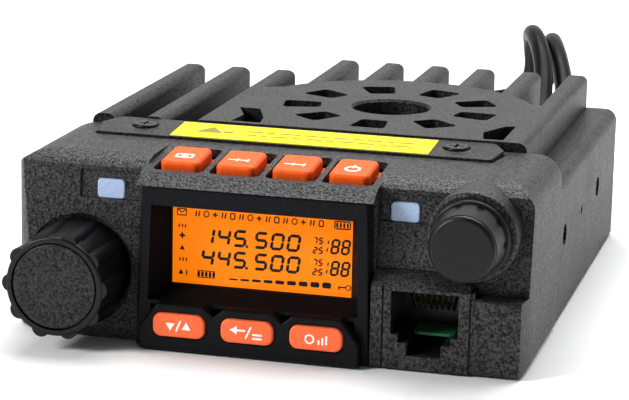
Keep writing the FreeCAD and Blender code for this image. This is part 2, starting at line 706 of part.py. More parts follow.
def bushed_control(x, z, half, shaft_r, bush_front, body_front):
    """A square body on the control board with a threaded bush round its shaft."""
    body = block(x - half, x + half, body_front, BOARD_Y, z - half, z + half)
    bush = rod_y(x, z, shaft_r + BUSH_WALL - 0.02, bush_front, body_front)
    hole = rod_y(x, z, shaft_r + RUNNING, bush_front - 1, BOARD_Y - 0.8)
    return body.fuse(bush).cut(hole)


def volume_knob():
    x = VOLUME_X
    z = VOLUME_Z
    back = COLLAR_FRONT - 0.4
    skirt = rod_y(x, z, VOLUME_R, back - 1.6, back)
    skirt = skirt.makeFillet(0.4, [e for e in skirt.Edges if e.Closed])
    grip = cone_y(x, z, VOLUME_FRONT_R + 0.1, VOLUME_R - 0.5, VOLUME_FRONT + 1.0, back - 1.0)
    nose = rod_y(x, z, VOLUME_FRONT_R, VOLUME_FRONT, VOLUME_FRONT + 1.4)
    nose = nose.makeFillet(0.9, [e for e in nose.Edges if abs(e.CenterOfMass.y - VOLUME_FRONT) < 0.01 and e.Closed])
    body = fuse(skirt, grip, nose)
    flutes = 10
    for i in range(flutes):
        angle = 2.0 * math.pi * i / flutes
        fx = x + (VOLUME_R + 0.9) * math.cos(angle)
        fz = z + (VOLUME_R + 0.9) * math.sin(angle)
        body = body.cut(rod_y(fx, fz, 1.75, VOLUME_FRONT + 2.2, back - 1.9))
    return body.cut(rod_y(x, z, VOLUME_SHAFT_R, VOLUME_FRONT + 2.5, 20)).removeSplitter()


def volume_shaft():
    return rod_y(VOLUME_X, VOLUME_Z, VOLUME_SHAFT_R, VOLUME_FRONT + 2.6, BOARD_Y - 1.0)


# ---------------------------------------------------------------------------
# Microphone socket
# ---------------------------------------------------------------------------
def mic_jack():
    body = block(MIC_LEFT + 0.3, MIC_RIGHT - 0.4, MIC_FRONT + 1.4, MIC_BACK, 1.1, MIC_TOP + 0.2)
    return body.cut(mic_opening(-10, MIC_BACK - 2.0))


def mic_contacts():
    made = []
    for i in range(8):
        x = MIC_MID + (i - 3.5) * 1.02
        z = MIC_OPEN_TOP
        made.append(prism_yz([(0.6, z - 0.1), (0.6, z - 0.6), (5.6, z - 5.2), (6.3, z - 5.2), (9.8, z - 2.2),
                              (9.8, z - 1.7), (6.1, z - 4.7)], x - 0.22, x + 0.22))
    return made


# ---------------------------------------------------------------------------
# Die-cast chassis
# ---------------------------------------------------------------------------
def fin_x(i):
    return (i - (FIN_COUNT - 1) / 2.0) * FIN_PITCH


def fin_end(i):
    rear = NOTCH_Y if fin_x(i) < NOTCH_X else DEPTH
    return rear - FIN_SETBACK


def fin(i, start):
    half = FIN_T / 2.0
    x = fin_x(i)
    shape = block(x - half, x + half, start, fin_end(i), FLOOR_Z - 1.0, FIN_TOP)
    crown = [e for e in shape.Edges if e.CenterOfMass.z > FIN_TOP - 0.01 and e.CenterOfMass.y > start + 0.1]
    return shape.makeFillet(1.7, crown)


def stepped_plan(side, front, rear, notch_rear, notch_x):
    """Plan outline of the body, with the stepped rear left corner."""
    return [(-side, front), (side, front), (side, rear), (notch_x, rear), (notch_x, notch_rear), (-side, notch_rear)]


def grille():
    z0 = FIN_TOP - GRILLE_T
    left = fin_x(2)
    right = fin_x(8)
    front = SEAM_Y + 1.0
    disc = rod_z(FAN_X, FAN_Y, GRILLE_R, z0, FIN_TOP)
    web = prism_xy([(left, front), (right, front), (right, 71.0), (FAN_X, 71.0), (-9.0, 75.5), (left, 69.4)], z0, FIN_TOP)
    plate = fuse(disc, web)
    return plate.common(block(left, right, front, DEPTH, z0, FIN_TOP))


def grille_hub_hole():
    z0 = FIN_TOP - GRILLE_T
    straight = rod_z(FAN_X, FAN_Y, HUB_HOLE_R, z0 - 1, FIN_TOP + 1)
    bevel = cone_z(FAN_X, FAN_Y, HUB_HOLE_R - 0.1, HUB_HOLE_R + 0.6, FIN_TOP - 0.6, FIN_TOP + 0.1)
    return straight.fuse(bevel)


def grille_slot(i):
    z0 = FIN_TOP - GRILLE_T
    angle = 270.0 + i * 360.0 / SLOT_COUNT
    outline = [(SLOT_IN, -SLOT_IN_HALF), (SLOT_OUT, -SLOT_OUT_HALF), (SLOT_OUT, SLOT_OUT_HALF), (SLOT_IN, SLOT_IN_HALF)]
    cutter = prism_xy(outline, z0 - 1, FIN_TOP + 1)
    cutter = cutter.makeFillet(1.1, edges_along(cutter, V(0, 0, 1)))
    cutter.rotate(V(0, 0, 0), V(0, 0, 1), angle)
    cutter.translate(V(FAN_X, FAN_Y, 0))
    return cutter


def corner_windows():
    """The two openings in the front corners of the grille."""
    start = SEAM_Y + 2.5
    left = [(-15.2, start), (-9.4, start), (-10.2, start + 5.1), (-13.2, start + 13.3), (-17.3, start + 13.3),
            (-14.6, start + 6.5)]
    right = [(34.1, start), (37.9, start), (37.9, start + 13.7), (36.0, start + 12.8), (33.0, start + 6.0)]
    return [prism_xy(outline, FLOOR_Z, FIN_TOP + 1) for outline in (left, right)]


def chassis():
    half = BODY_W / 2.0
    outer = prism_xy(stepped_plan(half, SEAM_Y, DEPTH, NOTCH_Y, NOTCH_X), COVER_SIDE_TOP, SHOULDER_Z)
    corner_r = 2.6
    outer = outer.makeFillet(corner_r, edges_along(outer, V(0, 0, 1), lambda p: p.y > SEAM_Y + 1 and abs(p.x) > half - 1))
    outer = outer.makeFillet(2.4, [e for e in outer.Edges if e.CenterOfMass.z > SHOULDER_Z - 0.01
                                   and e.CenterOfMass.y > SEAM_Y + 0.1])
    trough = block(fin_x(0) - FIN_T / 2.0, fin_x(FIN_COUNT - 1) + FIN_T / 2.0, SEAM_Y - 1, DEPTH + 1, FLOOR_Z, 50)
    body = outer.cut(trough)
    body = body.fuse([fin(i, SEAM_Y + 0.9) for i in range(FIN_COUNT)])
    body = body.fuse(grille())
    for window in corner_windows():
        body = body.cut(window)
    inside = prism_xy(stepped_plan(half - WALL, SEAM_Y - 1, DEPTH - WALL, NOTCH_Y - WALL, NOTCH_X + WALL),
                      COVER_SIDE_TOP - 1, CEILING_Z)
    body = body.cut(inside)
    pocket = FAN_POCKET / 2.0
    body = body.cut(block(FAN_X - pocket, FAN_X + pocket, FAN_Y - pocket, FAN_Y + pocket,
                          CEILING_Z - 1, FIN_TOP - GRILLE_T))
    for i in range(SLOT_COUNT):
        body = body.cut(grille_slot(i))
    body = body.cut(grille_hub_hole())
    # posts for the cover screws, lugs for the strip screws, bosses for the bracket
    for x, y in COVER_SCREWS:
        body = body.fuse(rod_z(x, y, 3.2, COVER_BOTTOM + COVER_T, CEILING_Z + 1))
    for side in (-1, 1):
        x = side * STRIP_SCREW_X
        body = body.fuse(block(x - 2.3, x + 2.3, STRIP_SCREW_Y - 3.6, SEAM_Y + 3, 28.6, PANEL_TOP - PANEL_WALL))
        body = body.cut(rod_z(x, STRIP_SCREW_Y, 1.4, 20, 33))
        for y in bracket_ys():
            x_in, x_out = sorted((side * (half - BRACKET_DEPTH), side * (half - 1)))
            body = body.fuse(rod_x(y, BRACKET_Z, 4.6, x_in, x_out))
    for x, y in COVER_SCREWS:
        body = body.cut(rod_z(x, y, 1.25, 0, 10))
    for side in (-1, 1):
        for y in bracket_ys():
            x_in, x_out = sorted((side * (half - BRACKET_DEPTH - 1), side * (half + 1)))
            body = body.cut(rod_x(y, BRACKET_Z, BRACKET_R, x_in, x_out))
        body = body.cut(Part.makeSphere(1.0, V(side * (half + 0.4), BRACKET_Y, BRACKET_Z)))
    # rear openings
    body = body.cut(rod_y(ANT_X, ANT_Z, ANT_NECK_R + 0.1, NOTCH_Y - WALL - 1, NOTCH_Y + 1))
    body = body.cut(rod_y(JACK_X, JACK_Z, 3.0, DEPTH - WALL - 1, DEPTH + 1))
    body = body.cut(pill_y(LEAD_X, LEAD_Z, 2 * LEAD_HALF + 7.0, 7.0, DEPTH - WALL - 1, DEPTH + 1))
    for x in ANT_SCREWS:
        body = body.cut(rod_y(x, ANT_Z, 1.2, NOTCH_Y - WALL - 1, NOTCH_Y + 1))
    return body.removeSplitter()


def bracket_ys():
    return (BRACKET_Y - BRACKET_SPACING / 2.0, BRACKET_Y + BRACKET_SPACING / 2.0)


# ---------------------------------------------------------------------------
# Bottom cover
# ---------------------------------------------------------------------------
def bottom_cover():
    half = BODY_W / 2.0
    front = SEAM_Y + 0.15
    outer = prism_xy(stepped_plan(half, front, DEPTH, NOTCH_Y, NOTCH_X), COVER_BOTTOM, COVER_SIDE_TOP)
    corner = edges_along(outer, V(0, 0, 1), lambda p: p.y > SEAM_Y + 1 and abs(p.x) > half - 1)
    outer = outer.makeFillet(2.6, corner)
    wall = 1.5
    inner = prism_xy(stepped_plan(half - wall, front - 5, DEPTH - wall, NOTCH_Y - wall, NOTCH_X + wall),
                     COVER_BOTTOM + COVER_T, 20)
    body = outer.cut(inner)
    # tongues that hold the lower edge of the front panel
    for x in (-32.0, 32.0):
        z0 = PANEL_BOTTOM + PANEL_WALL
        body = body.fuse(block(x - 6, x + 6, SEAM_Y - 4.5, SEAM_Y + 4.5, z0, z0 + 1.2))
        body = body.fuse(block(x - 6, x + 6, SEAM_Y + 0.15, SEAM_Y + 4.5, COVER_BOTTOM + COVER_T, z0))
    # raised pads that the rear stands on
    for x, y in ((-36.0, NOTCH_Y - 20.0), (36.0, DEPTH - 20.0), (-36.0, SEAM_Y + 12.0), (36.0, SEAM_Y + 12.0)):
        body = body.fuse(cone_z(x, y, 3.2, 4.4, 0.0, COVER_BOTTOM + 0.2))
    for x, y in COVER_SCREWS:
        body = body.cut(rod_z(x, y, 1.7, -1, 5))
        body = body.cut(cone_z(x, y, 3.0, 1.6, COVER_BOTTOM - 0.01, COVER_BOTTOM + 1.0))
    slots = 7
    for i in range(slots):
        y = SPEAKER_Y + (i - (slots - 1) / 2.0) * 4.0
        reach = math.sqrt(15.0 ** 2 - (y - SPEAKER_Y) ** 2)
        slot = rounded_block(SPEAKER_X - reach, SPEAKER_X + reach, y - 0.9, y + 0.9, -1, 5, V(0, 0, 1), 0.85)
        body = body.cut(slot)
    return body.removeSplitter()


def cover_screws():
    made = []
    for x, y in COVER_SCREWS:
        head = cone_z(x, y, 2.8, 1.45, COVER_BOTTOM + 0.05, COVER_BOTTOM + 1.0)
        shank = rod_z(x, y, 1.2, COVER_BOTTOM + 1.0, 9.0)
        slot = block(x - 1.6, x + 1.6, y - 0.25, y + 0.25, -1, COVER_BOTTOM + 0.6)
        cross = block(x - 0.25, x + 0.25, y - 1.6, y + 1.6, -1, COVER_BOTTOM + 0.6)
        made.append(head.fuse(shank).cut(slot).cut(cross).removeSplitter())
    return made


# ---------------------------------------------------------------------------
# Speaker, boards and what is on them
# ---------------------------------------------------------------------------
def speaker():
    z0 = COVER_BOTTOM + COVER_T
    ring = rod_z(SPEAKER_X, SPEAKER_Y, SPEAKER_R, z0, z0 + 1.4)
    basket = cone_z(SPEAKER_X, SPEAKER_Y, SPEAKER_R - 1.5, 10.0, z0 + 1.4, z0 + 3.6)
    hollow = cone_z(SPEAKER_X, SPEAKER_Y, SPEAKER_R - 2.2, 9.0, z0 + 1.4, z0 + 3.0)
    mouth = rod_z(SPEAKER_X, SPEAKER_Y, SPEAKER_R - 2.0, z0 - 0.01, z0 + 1.4)
    basket = fuse(ring, basket).cut(mouth).cut(hollow)
    magnet = rod_z(SPEAKER_X, SPEAKER_Y, 9.0, z0 + 3.6, z0 + 6.6)
    cone = cone_z(SPEAKER_X, SPEAKER_Y, SPEAKER_R - 3.0, 6.0, z0 + 0.5, z0 + 2.5)
    cone = cone.cut(cone_z(SPEAKER_X, SPEAKER_Y, SPEAKER_R - 3.4, 5.6, z0 + 0.4, z0 + 2.2))
    rim = rod_z(SPEAKER_X, SPEAKER_Y, SPEAKER_R - 2.02, z0 + 0.3, z0 + 0.7)
    rim = rim.cut(rod_z(SPEAKER_X, SPEAKER_Y, SPEAKER_R - 3.4, z0 - 1, z0 + 3))
    return basket, magnet, fuse(cone, rim)


def main_board():
    z1 = MAIN_BOARD_Z + MAIN_BOARD_T
    board = prism_xy(stepped_plan(BOARD_HALF, SEAM_Y + 4, DEPTH - 8, NOTCH_Y - 9, NOTCH_X + 8), MAIN_BOARD_Z, z1)
    for x, y in BOARD_SCREWS:
        board = board.cut(rod_z(x, y, 1.6, 0, 20))
    return board


def board_screws():
    made = []
    for x, y in BOARD_SCREWS:
        head = rod_z(x, y, 2.5, MAIN_BOARD_Z - 1.6, MAIN_BOARD_Z)
        shank = rod_z(x, y, 1.4, MAIN_BOARD_Z, CEILING_Z)
        spacer = rod_z(x, y, 2.4, MAIN_BOARD_Z + MAIN_BOARD_T, CEILING_Z).cut(rod_z(x, y, 1.5, 0, 40))
        made += [fuse(head, shank), spacer]
    return made


def shield_cans():
    z0 = MAIN_BOARD_Z + MAIN_BOARD_T
    return [block(-34, -14, 54, 71, z0, z0 + 3.2), block(-8, 12, DEPTH - 26, DEPTH - 14, z0, z0 + 3.2)]


def capacitors():
    z0 = MAIN_BOARD_Z + MAIN_BOARD_T
    made = []
    for x, y, r in ((26.0, DEPTH - 16.0, 3.2), (18.5, DEPTH - 16.0, 3.2), (-28.0, 76.0, 2.5), (34.0, 62.0, 2.5)):
        can = rod_z(x, y, r, z0, z0 + 6.0)
        made.append(can.makeFillet(0.5, [e for e in can.Edges if e.CenterOfMass.z > z0 + 5.9 and e.Closed]))
    return made


def power_module():
    z1 = CEILING_Z - 0.5
    body = block(-35.5, -14.5, 45.0, 50.5, z1 - 6.0, z1)
    return body.fuse(block(-37.0, -13.0, 43.5, 52.0, z1 - 1.5, z1))


def thermal_pad():
    return block(-36.5, -13.5, 44.0, 51.5, CEILING_Z - 0.5, CEILING_Z)


def control_board():
    z1 = 30.0
    return prism_xz([(-43.5, 3.0), (45.5, 3.0), (45.5, z1 - 3), (43.0, z1), (-40.0, z1), (-43.5, z1 - 3)],
                    BOARD_Y, BOARD_Y + BOARD_T)


def key_board():
    return block(-20.0, 20.0, 6.9, BOARD_Y, 26.9, 28.0)


def ribbon_cable():
    """A flat jumper from the control board down to the main board."""
    y0 = BOARD_Y + BOARD_T
    z0 = MAIN_BOARD_Z + MAIN_BOARD_T
    t = 0.6
    path = [(y0, 21.0), (y0 + 5.0, 21.0), (y0 + 26.0, z0 + 1.4), (y0 + 26.0, z0), (y0 + 26.0 - t, z0),
            (y0 + 26.0 - t, z0 + 1.1), (y0 + 4.8, 21.0 - t), (y0, 21.0 - t)]
    return prism_yz(path, -4.0, 16.0)


def led_chips():
    made = []
    for side in (-1, 1):
        x = side * LAMP_X + LAMP_SHIFT
        made.append(block(x - 1.6, x + 1.6, BOARD_Y - 1.1, BOARD_Y, LAMP_Z - 0.9, LAMP_Z + 0.9))
    return made


def lamp_window(side):
    x = side * LAMP_X + LAMP_SHIFT
    w = LAMP_W / 2.0
    h = LAMP_H / 2.0
    front = cheek_y(LAMP_Z) + 0.15
    body = rounded_block(x - w, x + w, front, 9.6, LAMP_Z - h, LAMP_Z + h, V(0, 1, 0), 0.8)
    rim = [e for e in body.Edges if abs(e.CenterOfMass.y - front) < 0.01]
    return body.makeFillet(0.3, rim)


# ---------------------------------------------------------------------------
# Fan
# ---------------------------------------------------------------------------
def fan_frame():
    half = FAN_SIZE / 2.0
    body = rounded_block(FAN_X - half, FAN_X + half, FAN_Y - half, FAN_Y + half, FAN_BOTTOM, FAN_TOP, V(0, 0, 1), 2.5)
    body = body.cut(rod_z(FAN_X, FAN_Y, FAN_BORE_R, FAN_BOTTOM - 1, FAN_TOP + 1))
    for angle in range(0, 360, 90):
        strut = block(HUB_R - 2.5, FAN_BORE_R + 0.3, -1.1, 1.1, FAN_BOTTOM, FAN_BOTTOM + 1.2)
        strut.rotate(V(0, 0, 0), V(0, 0, 1), angle + 20)
        strut.translate(V(FAN_X, FAN_Y, 0))
        body = body.fuse(strut)
    body = body.fuse(rod_z(FAN_X, FAN_Y, HUB_R - 2.0, FAN_BOTTOM, FAN_BOTTOM + 1.2))
    body = body.fuse(rod_z(FAN_X, FAN_Y, 2.6, FAN_BOTTOM, FAN_BOTTOM + 4.0))
    body = body.cut(rod_z(FAN_X, FAN_Y, 1.5 + RUNNING, FAN_BOTTOM + 0.6, FAN_TOP))
    for x, y in fan_corners():
        body = body.cut(rod_z(x, y, 1.7, FAN_BOTTOM - 1, FAN_TOP + 1))
    return body.removeSplitter()


def fan_corners():
    reach = 16.0
    return [(FAN_X + sx * reach, FAN_Y + sy * reach) for sx in (-1, 1) for sy in (-1, 1)]


def fan_rotor():
    top = FAN_TOP - 0.5
    hub = rod_z(FAN_X, FAN_Y, HUB_R, FAN_BOTTOM + 1.8, top)
    hub = hub.makeFillet(0.8, [e for e in hub.Edges if e.CenterOfMass.z > top - 0.01 and e.Closed])
    hub = hub.cut(rod_z(FAN_X, FAN_Y, HUB_R - 1.0, FAN_BOTTOM + 1.0, top - 1.2))
    spindle = rod_z(FAN_X, FAN_Y, 1.5, FAN_BOTTOM + 0.9, top - 1.0)
    body = hub.fuse(spindle)
    trim = rod_z(FAN_X, FAN_Y, ROTOR_R, FAN_BOTTOM, FAN_TOP)
    blades = 7
    for i in range(blades):
        blade = prism_yz([(-3.6, FAN_BOTTOM + 2.4), (-2.6, FAN_BOTTOM + 2.4), (3.6, top - 0.6), (2.6, top - 0.6)],
                         HUB_R - 0.9, ROTOR_R + 1.0)
        blade.rotate(V(0, 0, 0), V(0, 0, 1), 360.0 * (i + 0.37) / blades)
        blade.translate(V(FAN_X, FAN_Y, 0))
        body = body.fuse(blade.common(trim))
    return body


def fan_plate():
    """The tray that closes the fan's well from below, inside the casting."""
    half = FAN_POCKET / 2.0 + 1.6
    body = block(FAN_X - half, FAN_X + half, FAN_Y - half, FAN_Y + half, CEILING_Z - 1.0, CEILING_Z)
    spacer = FAN_SIZE / 2.0
    body = body.fuse(block(FAN_X - spacer, FAN_X + spacer, FAN_Y - spacer, FAN_Y + spacer, CEILING_Z, FAN_BOTTOM))
    for x, y in fan_corners():
        body = body.cut(rod_z(x, y, 1.5, 10, 30))
    return body.removeSplitter()


def fan_screws():
    made = []
    for x, y in fan_corners():
        head = rod_z(x, y, 2.5, CEILING_Z - 2.2, CEILING_Z - 1.0)
        shank = rod_z(x, y, 1.4, CEILING_Z - 1.0, FAN_TOP + 0.1)
        made.append(fuse(head, shank))
    return made


# ---------------------------------------------------------------------------
# Rear connectors and the power lead
# ---------------------------------------------------------------------------
def antenna_socket():
    """Coaxial socket with an oval two-screw flange and a threaded barrel."""
    low = COVER_SIDE_TOP
    flange = rounded_block(ANT_X - 12.8, ANT_X + 12.8, NOTCH_Y, NOTCH_Y + 1.6, low, 2 * ANT_Z - low, V(0, 1, 0), 2.5)
    end = NOTCH_Y + ANT_LENGTH
    barrel = rod_y(ANT_X, ANT_Z, ANT_R, NOTCH_Y + 1.6, end)
    barrel = barrel.makeChamfer(0.5, [e for e in barrel.Edges if abs(e.CenterOfMass.y - end) < 0.01 and e.Closed])
    neck = rod_y(ANT_X, ANT_Z, ANT_NECK_R, NOTCH_Y - 5.0, NOTCH_Y)
    body = flange.fuse([barrel, neck])
    body = body.cut(rod_y(ANT_X, ANT_Z, 6.1, NOTCH_Y + 5.0, end + 1))
    body = body.cut(rod_y(ANT_X, ANT_Z, 3.2, NOTCH_Y - 6.0, NOTCH_Y + 6.0))
    for x in ANT_SCREWS:
        body = body.cut(rod_y(x, ANT_Z, 1.5, NOTCH_Y - 1, NOTCH_Y + 3))
    return body.removeSplitter()


def antenna_insulator():
    body = rod_y(ANT_X, ANT_Z, 4.6, NOTCH_Y + 5.0, NOTCH_Y + 13.0)
    body = body.fuse(rod_y(ANT_X, ANT_Z, 3.2, NOTCH_Y - 5.0, NOTCH_Y + 5.0))
    body = body.cut(rod_y(ANT_X, ANT_Z, 2.7, NOTCH_Y + 3.0, NOTCH_Y + 20.0))
    return body.cut(rod_y(ANT_X, ANT_Z, 1.2, NOTCH_Y - 6.0, NOTCH_Y + 4.0)).removeSplitter()


def antenna_contact():
    body = rod_y(ANT_X, ANT_Z, 2.7, NOTCH_Y + 3.0, NOTCH_Y + 14.0)
    body = body.fuse(rod_y(ANT_X, ANT_Z, 1.2, NOTCH_Y - 8.0, NOTCH_Y + 3.0))
    return body.cut(rod_y(ANT_X, ANT_Z, 2.0, NOTCH_Y + 5.0, NOTCH_Y + 20.0)).removeSplitter()


def antenna_screws():
    made = []
    for x in ANT_SCREWS:
        head = rod_y(x, ANT_Z, 2.1, NOTCH_Y + 1.6, NOTCH_Y + 2.8)
        slot = block(x - 3, x + 3, NOTCH_Y + 2.3, NOTCH_Y + 4, ANT_Z - 0.25, ANT_Z + 0.25)
        made.append(head.cut(slot).fuse(rod_y(x, ANT_Z, 1.15, NOTCH_Y - 2.5, NOTCH_Y + 1.6)).removeSplitter())
    return made


def speaker_jack():
    """3.5 mm jack for an external loudspeaker, held by a round nut."""
    body = block(JACK_X - 4.0, JACK_X + 4.0, DEPTH - WALL - 9.0, DEPTH - WALL, JACK_Z - 1.6, JACK_Z + 4.6)
    bush = rod_y(JACK_X, JACK_Z, 2.95, DEPTH - WALL, DEPTH + 2.2)
    return body.fuse(bush).cut(rod_y(JACK_X, JACK_Z, JACK_BORE_R, DEPTH - 10.0, DEPTH + 5)).removeSplitter()


def jack_nut():
    nut = rod_y(JACK_X, JACK_Z, 4.2, DEPTH, DEPTH + 1.8).cut(rod_y(JACK_X, JACK_Z, 2.95, DEPTH - 1, DEPTH + 5))
    for angle in (0, 90, 180, 270):
        notch = block(3.4, 5, DEPTH + 0.9, DEPTH + 3, -0.5, 0.5)
        notch.rotate(V(0, 0, 0), V(0, 1, 0), angle)
        notch.translate(V(JACK_X, 0, JACK_Z))
        nut = nut.cut(notch)
    return nut.removeSplitter()


def lead_grommet():
    """Tapered strain relief that both conductors of the supply lead come out of."""
    root = pill_wire(LEAD_X, LEAD_Z, LEAD_HALF, 5.0, DEPTH)
    tip = pill_wire(LEAD_X, LEAD_Z, LEAD_HALF, LEAD_R + 0.9, GROMMET_END)
    taper = Part.makeLoft([root, tip], True)
    neck = pill_y(LEAD_X, LEAD_Z, 2 * LEAD_HALF + 6.9, 6.9, DEPTH - WALL, DEPTH)
    lock = pill_y(LEAD_X, LEAD_Z, 2 * LEAD_HALF + 9.4, 9.4, DEPTH - WALL - 1.6, DEPTH - WALL)
    body = fuse(taper, neck, lock)
    for i in range(3):
        y = DEPTH + 2.6 + 2.8 * i
        ring = pill_y(LEAD_X, LEAD_Z, 2 * LEAD_HALF + 14, 14, y, y + 0.9)
        ring = ring.cut(pill_y(LEAD_X, LEAD_Z, 2 * LEAD_HALF + 6.6, 6.6, y - 1, y + 2))
        body = body.cut(ring)
    return body.removeSplitter()


ARRIVAL = V(-0.84, -0.5426, 0.0)      # direction in which the lead reaches its plug
PLUG_END = V(-47.7, GROMMET_END + 83.7, 2.5)
ACROSS = V(-0.5426, 0.84, 0.0)
LEAD_SPREAD = 6.2

LEAD_ROUTE = {
    "power_lead_negative": [
        V(LEAD_X - LEAD_HALF, GROMMET_END, LEAD_Z), V(LEAD_X - LEAD_HALF, GROMMET_END + 13.0, LEAD_Z),
        V(30.0, GROMMET_END + 26.0, 19.2), V(27.6, GROMMET_END + 37.5, 26.8), V(22.6, GROMMET_END + 48.5, 31.2),
        V(17.6, GROMMET_END + 60.0, 30.6), V(15.2, GROMMET_END + 71.5, 25.0), V(14.8, GROMMET_END + 80.8, 16.6),
        V(11.0, GROMMET_END + 89.4, 9.2), V(2.8, GROMMET_END + 96.0, 4.8), V(-8.8, GROMMET_END + 99.2, 3.2),
        V(-21.5, GROMMET_END + 97.6, 2.7), PLUG_END - ARRIVAL * 13.0,
        PLUG_END],
    "power_lead_positive": [
        V(LEAD_X + LEAD_HALF, GROMMET_END, LEAD_Z), V(LEAD_X + LEAD_HALF, GROMMET_END + 13.5, LEAD_Z),
        V(34.8, GROMMET_END + 27.5, 18.4), V(33.0, GROMMET_END + 40.0, 24.8), V(28.4, GROMMET_END + 52.0, 30.0),
        V(23.2, GROMMET_END + 64.6, 31.2), V(20.4, GROMMET_END + 77.4, 26.8), V(19.0, GROMMET_END + 88.4, 18.6),
        V(13.6, GROMMET_END + 97.6, 10.8), V(3.2, GROMMET_END + 104.6, 5.6), V(-10.0, GROMMET_END + 107.0, 3.4),
        V(-24.5, GROMMET_END + 104.0, 2.7),
        PLUG_END + ACROSS * LEAD_SPREAD - ARRIVAL * 13.5, PLUG_END + ACROSS * LEAD_SPREAD],
}


def along_plug(shape):
    """Turns a shape made along +X from the origin onto the lead's end."""
    moved = shape.copy()
    moved.rotate(V(0, 0, 0), V(0, 0, 1), math.degrees(math.atan2(ARRIVAL.y, ARRIVAL.x)))
    moved.translate(PLUG_END + ACROSS * (LEAD_SPREAD / 2.0))
    return moved


def plug_housing():
    body = rounded_block(0, 21.0, -7.4, 7.4, -2.4, 5.4, V(1, 0, 0), 1.2)
    grip = block(6.0, 12.0, -8.2, 8.2, -2.4, 5.0)
    body = body.fuse(grip)
    for i in range(3):
        body = body.cut(block(7.0 + 1.8 * i, 7.8 + 1.8 * i, -9, 9, 4.4, 6))
    body = body.cut(block(13.0, 22, -6.0, -1.0, -1.4, 4.4)).cut(block(13.0, 22, 1.0, 6.0, -1.4, 4.4))
    return along_plug(body.removeSplitter())


def plug_contacts():
    flat = block(13.0, 19.0, -4.0, -3.2, -0.5, 3.5)
    upright = block(13.0, 19.0, 1.5, 5.5, 1.1, 1.9)
    return [along_plug(flat), along_plug(upright)]


# ---------------------------------------------------------------------------
# Everything is written out
# ---------------------------------------------------------------------------
def build():
    save("chassis", chassis())
    save("bottom_cover", bottom_cover())
    save("cover_screws", *cover_screws())
    save("front_panel", front_panel())
    save("display_frame", display_frame())
    save("display_window", pane(0.0, 0.9))
    save("lcd_glass", pane(1.03, 1.65))
    save("backlight", pane(2.73, 2.85))
    save("label_strip", label_strip())
    save("label", yellow_label())
    save("strip_screws", *strip_screws())
    save("channel_knob", channel_knob())
    save("channel_knob_cap", channel_cap())
    save("channel_shaft", channel_shaft())
    save("rotary_encoder", bushed_control(CHANNEL_X, CHANNEL_Z, 6.0, CHANNEL_SHAFT_R, -1.0, 6.2))
    save("volume_knob", volume_knob())
    save("volume_shaft", volume_shaft())
    save("volume_control", bushed_control(VOLUME_X, VOLUME_Z, 4.6, VOLUME_SHAFT_R, COLLAR_FRONT + 0.4, 6.2))
    for i in range(4):
        save("upper_button_%d" % (i + 1), upper_button(i))
    for i in range(3):
        save("lower_key_%d" % (i + 1), lower_key(i))
    save("upper_switches", *upper_switches())
    save("lower_switches", *lower_switches())
    save("lamp_window_left", lamp_window(-1))
    save("lamp_window_right", lamp_window(1))
    save("led_chips", *led_chips())
    save("control_board", control_board())
    save("key_board", key_board())
    save("ribbon_cable", ribbon_cable())
    save("mic_jack", mic_jack())
    save("mic_contacts", *mic_contacts())
    save("main_board", main_board())
    save("board_screws", *board_screws())
    save("shield_cans", *shield_cans())
    save("capacitors", *capacitors())
    save("power_module", power_module())
    save("thermal_pad", thermal_pad())
    basket, magnet, cone = speaker()
    save("speaker_basket", basket)
    save("speaker_magnet", magnet)
    save("speaker_cone", cone)
    save("fan_frame", fan_frame())
    save("fan_rotor", fan_rotor())
    save("fan_plate", fan_plate())
    save("fan_screws", *fan_screws())
    save("antenna_socket", antenna_socket())
    save("antenna_insulator", antenna_insulator())
    save("antenna_contact", antenna_contact())
    save("antenna_screws", *antenna_screws())
    save("speaker_jack", speaker_jack())
    save("jack_nut", jack_nut())
    save("lead_grommet", lead_grommet())
    for name, points in LEAD_ROUTE.items():
        save(name, tube(name, points, LEAD_R))
    save("plug_housing", plug_housing())
    save("plug_contacts", *plug_contacts())


build()
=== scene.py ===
# %% [markdown]
# # A compact mobile radio
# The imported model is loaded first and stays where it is. Every other piece is placed from
# its measured surfaces, so nothing has to be fitted by eye.

# %% Load the radio
import math
import bpy
from mathutils import Matrix, Vector


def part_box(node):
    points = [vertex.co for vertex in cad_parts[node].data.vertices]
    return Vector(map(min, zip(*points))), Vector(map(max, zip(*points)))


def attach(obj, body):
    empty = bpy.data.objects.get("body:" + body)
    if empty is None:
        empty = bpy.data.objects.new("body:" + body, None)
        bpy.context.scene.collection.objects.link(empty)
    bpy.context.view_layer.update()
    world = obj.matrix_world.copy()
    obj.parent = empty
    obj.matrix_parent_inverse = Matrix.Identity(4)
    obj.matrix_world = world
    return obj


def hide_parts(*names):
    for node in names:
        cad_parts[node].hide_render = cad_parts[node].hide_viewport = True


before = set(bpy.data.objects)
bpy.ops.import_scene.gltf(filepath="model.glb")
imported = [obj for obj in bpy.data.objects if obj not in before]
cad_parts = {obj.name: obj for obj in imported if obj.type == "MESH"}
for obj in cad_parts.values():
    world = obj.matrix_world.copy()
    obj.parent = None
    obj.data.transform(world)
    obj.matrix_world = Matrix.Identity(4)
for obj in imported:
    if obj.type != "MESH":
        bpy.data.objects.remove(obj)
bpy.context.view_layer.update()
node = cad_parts
MM = 0.001

# %% [markdown]
# A finish is a small graph of nodes on one Principled shader. The casting, the moulded
# panel and the rubber all need the same three things: a colour that varies a little, a
# roughness that varies a little, and a fine bump. One helper makes that graph from a grain
# size in millimetres, so each finish below is only a set of named values.


